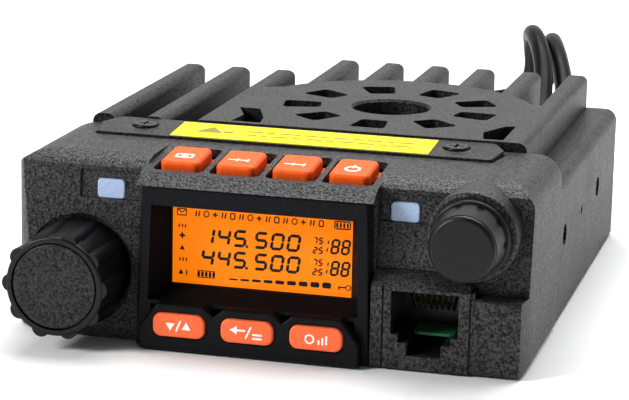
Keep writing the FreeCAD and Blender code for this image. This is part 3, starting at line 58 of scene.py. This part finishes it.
# %% A grained finish
def finish(name, dark, light, rough, grain_mm, bump, spread=0.1, blotch_mm=9.0, specular=0.5,
           metallic=0.0, glint=0.0):
    """A material whose colour and roughness drift slowly and whose surface has a fine grain."""
    material = bpy.data.materials.new(name)
    material.use_nodes = True
    nodes = material.node_tree.nodes
    link = material.node_tree.links.new
    shader = nodes["Principled BSDF"]
    place = nodes.new("ShaderNodeTexCoord")
    grain = nodes.new("ShaderNodeTexNoise")
    grain.inputs["Scale"].default_value = 1000.0 / grain_mm
    grain.inputs["Detail"].default_value = 3.0
    grain.inputs["Roughness"].default_value = 0.6
    blotch = nodes.new("ShaderNodeTexNoise")
    blotch.inputs["Scale"].default_value = 1000.0 / blotch_mm
    blotch.inputs["Detail"].default_value = 2.0
    link(place.outputs["Object"], grain.inputs["Vector"])
    link(place.outputs["Object"], blotch.inputs["Vector"])
    tone = nodes.new("ShaderNodeMix")
    tone.data_type = "RGBA"
    tone.inputs["A"].default_value = (*dark, 1)
    tone.inputs["B"].default_value = (*light, 1)
    speckle = nodes.new("ShaderNodeMapRange")
    speckle.inputs["From Min"].default_value = 0.36
    speckle.inputs["From Max"].default_value = 0.68
    link(grain.outputs["Fac"], speckle.inputs["Value"])
    both = nodes.new("ShaderNodeMath")
    both.operation = "MULTIPLY_ADD"
    both.inputs[1].default_value = 0.75
    link(speckle.outputs["Result"], both.inputs[0])
    half = nodes.new("ShaderNodeMath")
    half.operation = "MULTIPLY"
    half.inputs[1].default_value = 0.25
    link(blotch.outputs["Fac"], half.inputs[0])
    link(half.outputs[0], both.inputs[2])
    link(both.outputs[0], tone.inputs["Factor"])
    link(tone.outputs["Result"], shader.inputs["Base Color"])
    sheen = nodes.new("ShaderNodeMapRange")
    sheen.inputs["To Min"].default_value = rough - spread
    sheen.inputs["To Max"].default_value = rough + spread
    link(blotch.outputs["Fac"], sheen.inputs["Value"])
    link(sheen.outputs["Result"], shader.inputs["Roughness"])
    relief = nodes.new("ShaderNodeBump")
    relief.inputs["Strength"].default_value = bump
    relief.inputs["Distance"].default_value = grain_mm * 0.0004
    link(grain.outputs["Fac"], relief.inputs["Height"])
    link(relief.outputs["Normal"], shader.inputs["Normal"])
    sparkle = nodes.new("ShaderNodeMapRange")
    sparkle.inputs["To Min"].default_value = specular * (1 - glint)
    sparkle.inputs["To Max"].default_value = specular * (1 + glint)
    link(speckle.outputs["Result"], sparkle.inputs["Value"])
    link(sparkle.outputs["Result"], shader.inputs["Specular IOR Level"])
    shader.inputs["Metallic"].default_value = metallic
    return material


def paint(material, *names):
    """Gives CAD nodes a finish in place of their plain colour."""
    for name in names:
        mesh = node[name].data
        mesh.materials.clear()
        mesh.materials.append(material)
    print(material.name, "on", len(names), "nodes")


# %% [markdown]
# The casting and the lower cover are coated with a coarse black powder. The grain is fine
# and sharp, so it sparkles, and its bump is stronger than that of the moulded parts.

# %% Body finishes
CAST = finish("textured_casting", (0.002, 0.002, 0.002), (0.032, 0.032, 0.031), 0.42, 0.5, 0.8,
              spread=0.06, glint=0.6)
PANEL = finish("grained_panel", (0.002, 0.002, 0.002), (0.06, 0.06, 0.064), 0.42, 0.45, 0.8,
               spread=0.06, glint=0.7)
SURROUND = finish("satin_surround", (0.004, 0.004, 0.005), (0.014, 0.014, 0.017), 0.34, 0.35, 0.2,
                  specular=0.15)
RUBBER = finish("knob_rubber", (0.003, 0.003, 0.003), (0.012, 0.012, 0.013), 0.38, 0.4, 0.25,
                specular=0.4)
JACKET = finish("lead_jacket", (0.002, 0.002, 0.002), (0.008, 0.008, 0.008), 0.34, 0.8, 0.1, specular=0.12)
CAP = finish("knob_face", (0.003, 0.003, 0.003), (0.028, 0.028, 0.03), 0.48, 0.42, 0.6, glint=0.5)
SMOOTH = finish("smooth_black", (0.008, 0.008, 0.008), (0.018, 0.018, 0.019), 0.3, 0.6, 0.06)
paint(CAST, "chassis", "bottom_cover", "fan_plate", "label_strip")
paint(PANEL, "front_panel")
paint(SURROUND, "display_frame")
paint(RUBBER, "channel_knob", "volume_knob")
paint(JACKET, "lead_grommet", "power_lead_negative", "power_lead_positive")
paint(CAP, "channel_knob_cap")
paint(SMOOTH, "fan_frame", "fan_rotor", "mic_jack", "speaker_jack")

# %% [markdown]
# The keys are moulded in one orange silicone, and the lamps are milky light guides. They
# keep a little unevenness in colour and gloss, so that large flat faces do not look painted.

# %% Colours of the small outer pieces
ORANGE = finish("orange_keys", (0.85, 0.12, 0.012), (0.95, 0.165, 0.022), 0.4, 0.5, 0.1, specular=0.25)
PALE_ORANGE = finish("pale_orange_keys", (0.86, 0.16, 0.055), (0.95, 0.22, 0.085), 0.45, 0.5, 0.1,
                     specular=0.3)
LAMP = finish("frosted_lamp", (0.36, 0.46, 0.66), (0.48, 0.58, 0.78), 0.3, 0.4, 0.05)
YELLOW = finish("label_film", (0.82, 0.72, 0.03), (0.9, 0.82, 0.06), 0.55, 0.6, 0.04, specular=0.15)
WHITE_INK = finish("white_ink", (0.82, 0.82, 0.8), (0.92, 0.92, 0.9), 0.5, 0.3, 0.05)
GREY_INK = finish("grey_ink", (0.28, 0.25, 0.06), (0.4, 0.36, 0.1), 0.6, 0.3, 0.05, specular=0.2)
BLACKENED = finish("blackened_screws", (0.02, 0.02, 0.022), (0.05, 0.05, 0.052), 0.35, 0.3, 0.1,
                   metallic=0.8)
paint(ORANGE, *["upper_button_%d" % i for i in (1, 2, 3, 4)])
paint(PALE_ORANGE, *["lower_key_%d" % i for i in (1, 2, 3)])
paint(LAMP, "lamp_window_left", "lamp_window_right")
paint(YELLOW, "label")
paint(BLACKENED, "cover_screws", "strip_screws")

# %% [markdown]
# Inside are plated contacts, steel cans and shafts, a green board and plain moulded parts.
# Metals get full metallic and their colour carries the reflection.

# %% Colours of the inner and rear pieces
STEEL = finish("bright_steel", (0.5, 0.5, 0.5), (0.65, 0.65, 0.66), 0.3, 0.4, 0.06, metallic=1.0)
GOLD = finish("gold_plate", (0.7, 0.5, 0.2), (0.85, 0.68, 0.35), 0.28, 0.3, 0.05, metallic=1.0)
NICKEL = finish("nickel_plate", (0.5, 0.49, 0.46), (0.64, 0.63, 0.6), 0.28, 0.3, 0.05, metallic=1.0)
BOARD = finish("solder_mask", (0.01, 0.16, 0.05), (0.03, 0.28, 0.09), 0.35, 0.8, 0.1)
MOULDED = finish("moulded_black", (0.012, 0.012, 0.013), (0.03, 0.03, 0.03), 0.5, 0.4, 0.2)
WHITE = finish("white_nylon", (0.7, 0.7, 0.66), (0.85, 0.85, 0.8), 0.45, 0.5, 0.06)
GREY = finish("grey_film", (0.35, 0.36, 0.38), (0.5, 0.51, 0.54), 0.5, 0.4, 0.1)
PAPER = finish("pressed_paper", (0.02, 0.02, 0.02), (0.06, 0.06, 0.06), 0.8, 0.5, 0.5)
paint(STEEL, "board_screws", "fan_screws", "channel_shaft", "volume_shaft", "rotary_encoder", "volume_control",
      "shield_cans", "speaker_basket")
paint(GOLD, "mic_contacts", "plug_contacts", "antenna_contact")
paint(NICKEL, "antenna_socket", "antenna_screws", "jack_nut")
paint(BOARD, "control_board", "key_board", "main_board")
paint(MOULDED, "upper_switches", "lower_switches", "capacitors", "power_module", "speaker_magnet")
paint(WHITE, "plug_housing", "led_chips", "backlight", "antenna_insulator")
paint(GREY, "thermal_pad", "ribbon_cable")
paint(PAPER, "speaker_cone")

# %% [markdown]
# The display glows by itself: an amber film over a light box. Emission does this without a
# lamp object, and it counts only for what the camera sees, so the surround stays black. The
# pane in front is almost clear, so a low alpha is enough and nothing has to be refracted.

# %% The lit display and its pane
GLOW = 0.85
LIT = finish("lit_display", (0.42, 0.1, 0.0), (0.5, 0.13, 0.0), 0.5, 2.0, 0.0, blotch_mm=14.0,
             specular=0.0)
glow = LIT.node_tree.nodes["Principled BSDF"]
glow.inputs["Emission Color"].default_value = (1.0, 0.27, 0.0, 1)
sight = LIT.node_tree.nodes.new("ShaderNodeLightPath")
dim = LIT.node_tree.nodes.new("ShaderNodeMath")
dim.operation = "MULTIPLY"
dim.inputs[1].default_value = GLOW
LIT.node_tree.links.new(sight.outputs["Is Camera Ray"], dim.inputs[0])
LIT.node_tree.links.new(dim.outputs[0], glow.inputs["Emission Strength"])
PANE = finish("clear_pane", (0.9, 0.9, 0.9), (0.95, 0.95, 0.95), 0.08, 2.0, 0.0, spread=0.02)
PANE.node_tree.nodes["Principled BSDF"].inputs["Alpha"].default_value = 0.015
SEGMENT = finish("display_segment", (0.006, 0.004, 0.003), (0.012, 0.008, 0.006), 0.5, 0.6, 0.0,
                 specular=0.1)
paint(LIT, "lcd_glass")
paint(PANE, "display_window")

# %% [markdown]
# All printed and lit marks are thin plates. One seed plate is shaped: a cube is
# pressed flat, and its four upright edges are bevelled so that a mark has cut corners. Each
# mark is then a stretched copy of the seed with a mesh of its own.


# %% Seeds for the marks
def new_primitive(add, **how):
    """Adds a primitive with nothing else selected and returns it."""
    bpy.ops.object.select_all(action="DESELECT")
    add(**how)
    return bpy.context.object


def pick_edges(piece, wanted):
    """Leaves the piece in edit mode with the wanted edges selected."""
    bpy.ops.object.mode_set(mode="EDIT")
    bpy.ops.mesh.select_mode(type="EDGE")
    bpy.ops.mesh.select_all(action="DESELECT")
    bpy.ops.object.mode_set(mode="OBJECT")
    for edge in piece.data.edges:
        a, b = (piece.data.vertices[i].co for i in edge.vertices)
        edge.select = wanted(a, b)
    bpy.ops.object.mode_set(mode="EDIT")


BAR_LONG = 3.0
bar_seed = new_primitive(bpy.ops.mesh.primitive_cube_add, size=1.0)
bpy.ops.object.mode_set(mode="EDIT")
bpy.ops.transform.resize(value=(BAR_LONG, 1.0, 1.0))
pick_edges(bar_seed, lambda a, b: abs(a.z - b.z) > 0.5)
bpy.ops.mesh.bevel(offset=0.32, segments=1, affect="EDGES")
bpy.ops.object.mode_set(mode="OBJECT")
print("bar seed:", len(bar_seed.data.polygons), "faces")

# %% [markdown]
# A ring and a pointer are the other two seeds. The ring is a torus pressed flat, and the
# pointer is a three-sided prism with its rim bevelled.

# %% Ring and pointer seeds
ring_seed = new_primitive(bpy.ops.mesh.primitive_torus_add, major_radius=0.42, minor_radius=0.09,
                          major_segments=28, minor_segments=6)
bpy.ops.object.mode_set(mode="EDIT")
bpy.ops.transform.resize(value=(1.0, 1.0, 5.0))
bpy.ops.object.mode_set(mode="OBJECT")
point_seed = new_primitive(bpy.ops.mesh.primitive_cylinder_add, vertices=3, radius=0.58, depth=1.0)
pick_edges(point_seed, lambda a, b: abs(a.z - b.z) > 0.5)
bpy.ops.mesh.bevel(offset=0.06, segments=2, affect="EDGES")
bpy.ops.object.mode_set(mode="OBJECT")
print("ring and pointer seeds:", len(ring_seed.data.polygons), len(point_seed.data.polygons), "faces")


# %% [markdown]
# A mark is placed on a sheet: a plane with its own right, up and outward directions. The
# sheet is found by casting a ray at the piece that carries the mark, so a mark always sits
# on the real surface and tilts with it.

# %% Sheets and stamps
def surface(name, start, direction):
    """Where a ray in millimetres first meets a node, and the outward normal there."""
    bpy.context.view_layer.update()
    hit, place, normal, _ = node[name].ray_cast(Vector(start) * MM, Vector(direction), distance=1.0)
    print("surface of", name, "found" if hit else "missed", [round(v * 1000, 2) for v in place])
    return place, normal


def sheet_at(place, normal, right=(1, 0, 0)):
    """A matrix whose x runs right, whose z is the normal and whose units are millimetres."""
    z = normal.normalized()
    x = (Vector(right) - z * Vector(right).dot(z)).normalized()
    y = z.cross(x)
    turned = Matrix((x, y, z)).transposed().to_4x4()
    return Matrix.Translation(place) @ turned @ Matrix.Scale(MM, 4)


def stamp(seed, sheet, x, y, w, h, turn=0.0, thick=0.06, lift=0.0, lean=0.0):
    """One copy of a seed, w by h millimetres, at x, y on a sheet."""
    unit = BAR_LONG if seed is bar_seed else 1.0
    shape = Matrix.Diagonal((w / unit, h, thick, 1.0))
    slant = Matrix(((1, lean, 0, 0), (0, 1, 0, 0), (0, 0, 1, 0), (0, 0, 0, 1)))
    place = Matrix.Translation((x, y, lift + thick / 2)) @ slant @ Matrix.Rotation(turn, 4, "Z") @ shape
    piece = seed.copy()
    piece.data = seed.data.copy()
    bpy.context.collection.objects.link(piece)
    piece.data.transform(sheet @ place)
    return piece


def gather(name, marks, material, body="radio"):
    """Joins marks into one finished piece that rides on a body."""
    bpy.ops.object.select_all(action="DESELECT")
    for mark in marks:
        mark.select_set(True)
    bpy.context.view_layer.objects.active = marks[0]
    bpy.ops.object.join()
    piece = bpy.context.object
    piece.name = name
    piece.data.name = name
    piece.data.materials.clear()
    piece.data.materials.append(material)
    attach(piece, body)
    print(name, len(marks), "marks on", body)
    return piece


# %% [markdown]
# Numbers on the display are made of the usual seven bars. Each number is a word of digits,
# leaning forward a little, and a full stop is one short bar.

# %% Seven-bar digits
SEVEN = {"0": "abcdef", "1": "bc", "2": "abged", "4": "fgbc", "5": "afgcd", "7": "abc", "8": "abcdefg"}
LEAN = math.tan(math.radians(9))
MARK_T = 0.035
ROWS = (19.65, 15.6)
lcd_front = surface("lcd_glass", (0, -80, 18), (0, 1, 0))[0]
LCD = sheet_at(Vector((0, lcd_front.y, 0)), Vector((0, -1, 0)))


def digit(sheet, char, x, y, w, h, stroke):
    """The bars of one digit whose middle is at x, y."""
    made = []
    a, b = w / 2, h / 2
    bars = {"a": (0, b, 0), "g": (0, 0, 0), "d": (0, -b, 0), "b": (a, b / 2, 1), "c": (a, -b / 2, 1),
            "f": (-a, b / 2, 1), "e": (-a, -b / 2, 1)}
    for key in SEVEN[char]:
        dx, dy, upright = bars[key]
        long = b - stroke * 0.25 if upright else w - stroke * 0.25
        shear = Matrix(((1, LEAN, 0, 0), (0, 1, 0, 0), (0, 0, 1, 0), (0, 0, 0, 1)))
        place = sheet @ Matrix.Translation((x, y, 0)) @ shear
        made.append(stamp(bar_seed, place, dx, dy, long, stroke, math.pi / 2 * upright, MARK_T))
    return made


marks = []
for row, word in zip(ROWS, ("145500", "445500")):
    for i, char in enumerate(word):
        x = -10.6 + 3.05 * i + (0.95 if i > 2 else 0.0)
        marks += digit(LCD, char, x, row, 1.95, 2.7, 0.56)
    marks.append(stamp(bar_seed, LCD, -3.2, row - 1.4, 0.5, 0.5, 0, MARK_T))
gather("display_numbers", marks, SEGMENT)

# %% [markdown]
# At the right of each large number stand two short numbers and a pair of eights.

# %% Small numbers
marks = []
for row in ROWS:
    for dy, word in ((0.85, "75"), (-0.95, "25")):
        for i, char in enumerate(word):
            marks += digit(LCD, char, 9.6 + 1.05 * i, row + dy, 0.62, 1.05, 0.27)
    for i in (0, 1):
        marks += digit(LCD, "8", 13.35 + 1.95 * i, row, 1.2, 2.45, 0.44)
    for dy in (0.7, -0.7):
        marks.append(stamp(bar_seed, LCD, 11.95 + dy * 0.15, row + dy, 0.75, 0.26, math.radians(78),
                           MARK_T))
gather("display_small_numbers", marks, SEGMENT)

# %% [markdown]
# The level meter along the bottom is nine bars that grow to the right. A striped box stands
# before it and a small key after it.

# %% Level meter
marks = []
BASE = 11.75
for i in range(9):
    tall = 0.28 + 0.1 * i
    marks.append(stamp(bar_seed, LCD, -5.7 + 2.2 * i, BASE + tall / 2, 1.7, tall, 0, MARK_T))
for i in range(5):
    marks.append(stamp(bar_seed, LCD, -12.3 + 0.72 * i, 12.4, 0.5, 0.95, 0, MARK_T))
for dy in (-0.62, 0.62):
    marks.append(stamp(bar_seed, LCD, -10.86, 12.4 + dy, 3.7, 0.16, 0, MARK_T))
marks.append(stamp(ring_seed, LCD, 15.9, 12.2, 1.05, 1.05, 0, 0.01))
marks.append(stamp(bar_seed, LCD, 14.75, 12.2, 1.5, 0.26, 0, MARK_T))
marks.append(stamp(bar_seed, LCD, 14.2, 11.95, 0.25, 0.5, 0, MARK_T))
gather("display_meter", marks, SEGMENT)

# %% [markdown]
# The top row and the left column hold small signs. They are plain shapes without letters:
# an envelope, ticks, a cross, pointers, rings and a battery.

# %% Display signs
TOP = 23.7
TICK_LEAN = math.radians(80)


def boxed(sheet, x, y, w, h, line, thick=MARK_T):
    """The four sides of a small open box."""
    made = [stamp(bar_seed, sheet, x, y + s * h / 2, w, line, 0, thick) for s in (-1, 1)]
    made += [stamp(bar_seed, sheet, x + s * w / 2, y, h, line, math.pi / 2, thick) for s in (-1, 1)]
    return made


marks = boxed(LCD, -15.6, TOP + 0.1, 1.75, 1.2, 0.2)
for s in (-1, 1):
    marks.append(stamp(bar_seed, LCD, -15.6 + 0.38 * s, TOP + 0.3, 1.0, 0.18, s * math.radians(38), MARK_T))
for i in range(15):
    x = -12.6 + 1.66 * i
    kind = i % 5
    if kind in (0, 3):
        for dx in (-0.28, 0.28):
            marks.append(stamp(bar_seed, LCD, x + dx, TOP, 1.15, 0.27, TICK_LEAN, MARK_T))
    elif kind == 1:
        marks.append(stamp(ring_seed, LCD, x, TOP, 1.15, 1.25, 0, 0.01))
    elif kind == 2:
        marks.append(stamp(bar_seed, LCD, x, TOP, 1.0, 0.27, 0, MARK_T))
        marks.append(stamp(bar_seed, LCD, x, TOP, 1.0, 0.27, math.pi / 2, MARK_T))
    else:
        marks += boxed(LCD, x, TOP, 0.8, 1.05, 0.24)
gather("display_top_signs", marks, SEGMENT)

marks = boxed(LCD, 14.6, TOP, 2.9, 1.35, 0.24)
for i in range(4):
    marks.append(stamp(bar_seed, LCD, 13.6 + 0.65 * i, TOP, 0.9, 0.38, math.pi / 2, MARK_T))
for i in range(3):
    marks.append(stamp(bar_seed, LCD, -16.1 + 0.6 * i, 21.2, 0.7, 0.26, TICK_LEAN, MARK_T))
    marks.append(stamp(bar_seed, LCD, -15.9 + 0.6 * i, 14.9, 0.7, 0.26, TICK_LEAN, MARK_T))
marks.append(stamp(bar_seed, LCD, -15.5, 19.4, 1.2, 0.34, 0, MARK_T))
marks.append(stamp(bar_seed, LCD, -15.5, 19.4, 1.2, 0.34, math.pi / 2, MARK_T))
marks.append(stamp(point_seed, LCD, -15.5, 17.0, 1.0, 1.0, 0, MARK_T))
marks.append(stamp(point_seed, LCD, -15.7, 12.4, 1.0, 1.1, 0, MARK_T))
marks.append(stamp(bar_seed, LCD, -14.6, 12.4, 1.0, 0.26, math.pi / 2, MARK_T))
gather("display_side_signs", marks, SEGMENT)

# %% [markdown]
# The keys carry white signs. Each sign rides on the body of its own key, so it goes down
# with the key when that is pressed.

# %% Signs on the upper buttons
KEY_INK_T = 0.05
TRAY_Y = -43.4


def key_sheet(name, direction):
    """The sheet in the middle of the face of a key, found by one ray."""
    low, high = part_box(name)
    x = (low[0] + high[0]) / 2 / MM
    if direction == "down":
        start = (x, TRAY_Y, 60)
        return sheet_at(*surface(name, start, (0, 0, -1)))
    start = (x, -90, (low[2] + high[2]) / 2 / MM)
    return sheet_at(*surface(name, start, (0, 1, 0)))


for i in (1, 2, 3, 4):
    name = "upper_button_%d" % i
    sheet = key_sheet(name, "down")
    marks = []
    if i == 1:
        marks += boxed(sheet, 0, -0.6, 3.0, 1.9, 0.5, KEY_INK_T)
        marks.append(stamp(bar_seed, sheet, 0, -0.6, 1.4, 0.8, 0, KEY_INK_T))
    elif i == 4:
        marks.append(stamp(ring_seed, sheet, 0, -0.7, 3.0, 3.0, 0, 0.04, -0.02))
        marks.append(stamp(bar_seed, sheet, 0, 0.5, 1.7, 0.42, math.pi / 2, KEY_INK_T))
    else:
        for k in range(4):
            turn = math.pi / 2 * (k % 2)
            marks.append(stamp(bar_seed, sheet, -1.5 + k, -0.7, 1.5, 0.42, turn, KEY_INK_T))
    gather("button_sign_%d" % i, marks, WHITE_INK, name)

# %% [markdown]
# The lower keys are read from the front. Their signs are an up and down pair with a slash,
# a back pointer beside two lines, and a ring with level bars.

# %% Signs on the lower keys
for i in (1, 2, 3):
    name = "lower_key_%d" % i
    sheet = key_sheet(name, "in")
    marks = []
    if i == 1:
        marks.append(stamp(point_seed, sheet, -1.5, 0.0, 1.7, 1.7, math.pi, KEY_INK_T))
        marks.append(stamp(bar_seed, sheet, 0.0, 0.0, 2.3, 0.36, math.radians(68), KEY_INK_T))
        marks.append(stamp(point_seed, sheet, 1.5, -0.1, 1.7, 1.7, 0, KEY_INK_T))
    elif i == 2:
        marks.append(stamp(point_seed, sheet, -2.2, 0.3, 1.6, 1.6, math.pi / 2, KEY_INK_T))
        marks.append(stamp(bar_seed, sheet, -1.0, 0.3, 1.7, 0.36, 0, KEY_INK_T))
        marks.append(stamp(bar_seed, sheet, 0.35, 0.0, 2.6, 0.32, math.radians(66), KEY_INK_T))
        for dy in (-1.0, -0.3):
            marks.append(stamp(bar_seed, sheet, 2.0, dy, 1.9, 0.38, 0, KEY_INK_T))
    else:
        marks.append(stamp(ring_seed, sheet, -1.1, -0.1, 1.8, 1.8, 0, 0.04, -0.02))
        for k in range(3):
            marks.append(stamp(bar_seed, sheet, 0.6 + 0.7 * k, -0.55 + 0.22 * k, 0.9 + 0.45 * k, 0.38,
                               math.pi / 2, KEY_INK_T))
    gather("key_sign_%d" % i, marks, WHITE_INK, name)

# %% [markdown]
# The yellow label shows two lines of faint print beside an open mark. The print is kept as
# plain dashes of uneven length.

# %% Print on the label
label_place, label_out = surface("label", (1.0, -23.6, 60), (0, 0, -1))
LABEL = sheet_at(label_place, label_out)
dashes = (3.1, 1.6, 4.2, 2.4, 1.2, 3.6, 2.0, 2.8, 1.5, 3.3)
PRINT_T = 0.03
marks = [stamp(point_seed, LABEL, -18.0, 0.0, 5.4, 4.4, 0, PRINT_T),
         stamp(bar_seed, LABEL, -14.4, -0.4, 1.8, 1.2, 0, PRINT_T)]
for line, shift in ((1.1, 0), (-1.2, 3)):
    x = -11.0
    for k in range(len(dashes)):
        long = dashes[(k + shift) % len(dashes)]
        marks.append(stamp(bar_seed, LABEL, x + long / 2, line, long, 0.6, 0, PRINT_T))
        x += long + 0.75
gather("label_print", marks, GREY_INK)

# %% [markdown]
# The face of the tuning knob has a ring of short raised ticks with a wider one as its
# pointer. They turn with the knob.

# %% Ticks on the tuning knob
knob_low, knob_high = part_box("channel_knob_cap")
knob_x = (knob_low[0] + knob_high[0]) / 2 / MM
knob_z = (knob_low[2] + knob_high[2]) / 2 / MM
FACE = sheet_at(*surface("channel_knob_cap", (knob_x, -90, knob_z), (0, 1, 0)))
TICK_R = 6.0
TICKS = 24
TICK_T = 0.14
SUNK = -0.02
marks = []
for i in range(TICKS):
    angle = 2 * math.pi * i / TICKS
    long = 1.7 if i % 6 else 2.3
    x, y = TICK_R * math.cos(angle), TICK_R * math.sin(angle)
    marks.append(stamp(bar_seed, FACE, x, y, long, 0.4, angle, TICK_T, SUNK))
marks.append(stamp(point_seed, FACE, 0.0, 3.4, 1.3, 1.3, 0, TICK_T, SUNK))
gather("knob_ticks", marks, CAP, "channel_knob")

# %% [markdown]
# Deep in the microphone socket a strip of green board shows below the contacts. It is a
# cube pressed to a plate, its front corners bevelled, and pushed in from the socket face.

# %% Board in the microphone socket
jack_low, jack_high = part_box("mic_jack")
jack_x = (jack_low[0] + jack_high[0]) / 2 / MM - 0.25
jack_front = jack_low[1] / MM
strip = new_primitive(bpy.ops.mesh.primitive_cube_add, size=1.0)
pick_edges(strip, lambda a, b: abs(a.z - b.z) > 0.5)
bpy.ops.mesh.bevel(offset=0.12, segments=2, affect="EDGES")
bpy.ops.object.mode_set(mode="OBJECT")
size = Matrix.Diagonal((7.6 * MM, 6.6 * MM, 0.5 * MM, 1.0))
strip.data.transform(Matrix.Translation(Vector((jack_x + 0.6, jack_front + 7.9, 5.55)) * MM) @ size)
gather("socket_board", [strip], BOARD)

# %% [markdown]
# Two stout conductors leave the grommet side by side, rise behind the fins, and lie down
# behind the radio, where they end in a small connector. Each is a curve with round section,
# so its length stays true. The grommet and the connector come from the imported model.

# %% Supply leads
LEAD_R = 2.2 * MM
GLAND_Y = 73.45
NEGATIVE = [(29.4, 0, 14), (29.4, 13, 14), (26.6, 26, 18.8), (25.0, 37.5, 25.8), (21.6, 48.8, 30.6),
            (17.8, 60, 31.6), (16.2, 71.5, 26.6), (15.4, 81.0, 18.0), (11.6, 89.6, 10.0), (3.4, 96.2, 5.2),
            (-8.4, 99.4, 3.3), (-21.2, 97.8, 2.7), (-36.78, 90.75, 2.5), (-47.7, 83.7, 2.5)]
POSITIVE = [(34.6, 0, 14), (34.6, 13.5, 14), (31.8, 27.5, 17.6), (29.4, 40, 23.2), (25.6, 52.4, 27.8),
            (22.2, 64.8, 29.0), (20.6, 77.4, 25.0), (19.8, 88.4, 17.4), (14.2, 97.6, 10.2), (3.8, 104.6, 5.4),
            (-9.6, 107.0, 3.4), (-24.3, 104.0, 2.7), (-39.72, 96.23, 2.5), (-51.06, 88.91, 2.5)]


def lead(name, route, length):
    """One free conductor along its route, with its real length printed beside its name."""
    curve = bpy.data.curves.new(name, "CURVE")
    curve.dimensions = "3D"
    line = curve.splines.new("NURBS")
    line.points.add(len(route) - 1)
    for point, (x, y, z) in zip(line.points, route):
        point.co = (x * MM, (y + GLAND_Y) * MM, z * MM, 1.0)
    line.order_u = 3
    line.use_endpoint_u = True
    line.resolution_u = 10
    curve.bevel_depth = LEAD_R
    curve.bevel_resolution = 8
    curve.use_fill_caps = True
    curve.materials.append(JACKET)
    cord = bpy.data.objects.new(name, curve)
    bpy.context.collection.objects.link(cord)
    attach(cord, "radio")
    print(name, "declared at", length, "m")
    return cord


negative = lead("negative_lead", NEGATIVE, 0.1686)
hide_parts("power_lead_negative")
positive = lead("positive_lead", POSITIVE, 0.1819)
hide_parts("power_lead_positive")

# %% [markdown]
# The seeds have done their work. They are removed, so that only finished pieces are left.

# %% Clear away the seeds
for seed in (bar_seed, ring_seed, point_seed):
    bpy.data.objects.remove(seed, do_unlink=True)
print("seeds removed")

# %% [markdown]
# A wide pale floor carries the soft shadow. It belongs to the stage and not to the radio.

# %% Floor
floor = new_primitive(bpy.ops.mesh.primitive_plane_add, size=8.0, location=(0, 1.0, 0))
floor.name = "floor"
floor.data.materials.append(finish("pale_floor", (0.93, 0.93, 0.93), (0.96, 0.96, 0.96), 0.9, 40.0, 0.0))
print("floor:", [round(v, 2) for v in floor.dimensions], "m")

# %% [markdown]
# The sky is bright near the horizon and darker overhead, and brighter behind the radio than
# in front of it. Flat tops mirror the bright part, while fronts and hollows stay black.

# %% Sky
HORIZON = 1.25
ZENITH = 0.45
FRONT_SHARE = 0.3
REAR_SHARE = 1.1
world = bpy.data.worlds.new("studio")
bpy.context.scene.world = world
world.use_nodes = True
sky = world.node_tree.nodes
wire = world.node_tree.links.new
heading = sky.new("ShaderNodeTexCoord")
split = sky.new("ShaderNodeSeparateXYZ")
ramp = sky.new("ShaderNodeMapRange")
ramp.inputs["From Max"].default_value = 0.75
ramp.inputs["To Min"].default_value = HORIZON
ramp.inputs["To Max"].default_value = ZENITH
wire(heading.outputs["Generated"], split.inputs["Vector"])
wire(split.outputs["Z"], ramp.inputs["Value"])
fore = sky.new("ShaderNodeMapRange")
fore.inputs["From Min"].default_value = -0.4
fore.inputs["To Min"].default_value = FRONT_SHARE
fore.inputs["To Max"].default_value = REAR_SHARE
wire(split.outputs["Y"], fore.inputs["Value"])
level = sky.new("ShaderNodeMath")
level.operation = "MULTIPLY"
wire(ramp.outputs["Result"], level.inputs[0])
wire(fore.outputs["Result"], level.inputs[1])
wire(level.outputs[0], sky["Background"].inputs["Strength"])
sky["Background"].inputs["Color"].default_value = (1, 1, 1, 1)
print("sky:", HORIZON, "at the horizon,", ZENITH, "overhead")

# %% [markdown]
# A broad lamp above and behind lights the tops and the floor. A small one at the front left
# draws the grain of the panel. The view curve deepens the blacks a little.

# %% Lamps and exposure
bpy.context.scene.view_settings.view_transform = "Standard"
bpy.context.scene.view_settings.gamma = 0.84


def soft_light(name, place, target, size, power):
    """An area lamp that faces its target."""
    light = bpy.data.lights.new(name, "AREA")
    light.shape = "RECTANGLE"
    light.size, light.size_y = size
    light.energy = power
    lamp = bpy.data.objects.new(name, light)
    bpy.context.collection.objects.link(lamp)
    lamp.location = place
    lamp.rotation_euler = (Vector(target) - Vector(place)).to_track_quat("-Z", "Y").to_euler()
    print(name, power, "W")


soft_light("overhead", (0.1, 0.7, 1.5), (0, 0.2, 0), (1.6, 1.2), 36)
soft_light("left_front", (-0.9, -0.8, 0.7), (0, 0, 0.02), (0.4, 0.4), 16)

# %% [markdown]
# The camera stands low, in front and a little to the right, with a long lens.

# %% Camera
camera = bpy.data.cameras.new("camera")
camera.lens = 142.49
camera.sensor_width = 36.0
camera.clip_start = 0.01
eye = bpy.data.objects.new("camera", camera)
bpy.context.collection.objects.link(eye)
side = Vector((0.9675, 0.2517, 0.0212))
up = Vector((-0.0778, 0.2171, 0.9731))
back = Vector((0.2403, -0.9432, 0.2296))
turned = Matrix((side, up, back)).transposed().to_4x4()
turned.translation = Vector((0.116732, -0.467641, 0.130646))
eye.matrix_world = turned
bpy.context.scene.camera = eye
print("camera:", camera.lens, "mm lens")
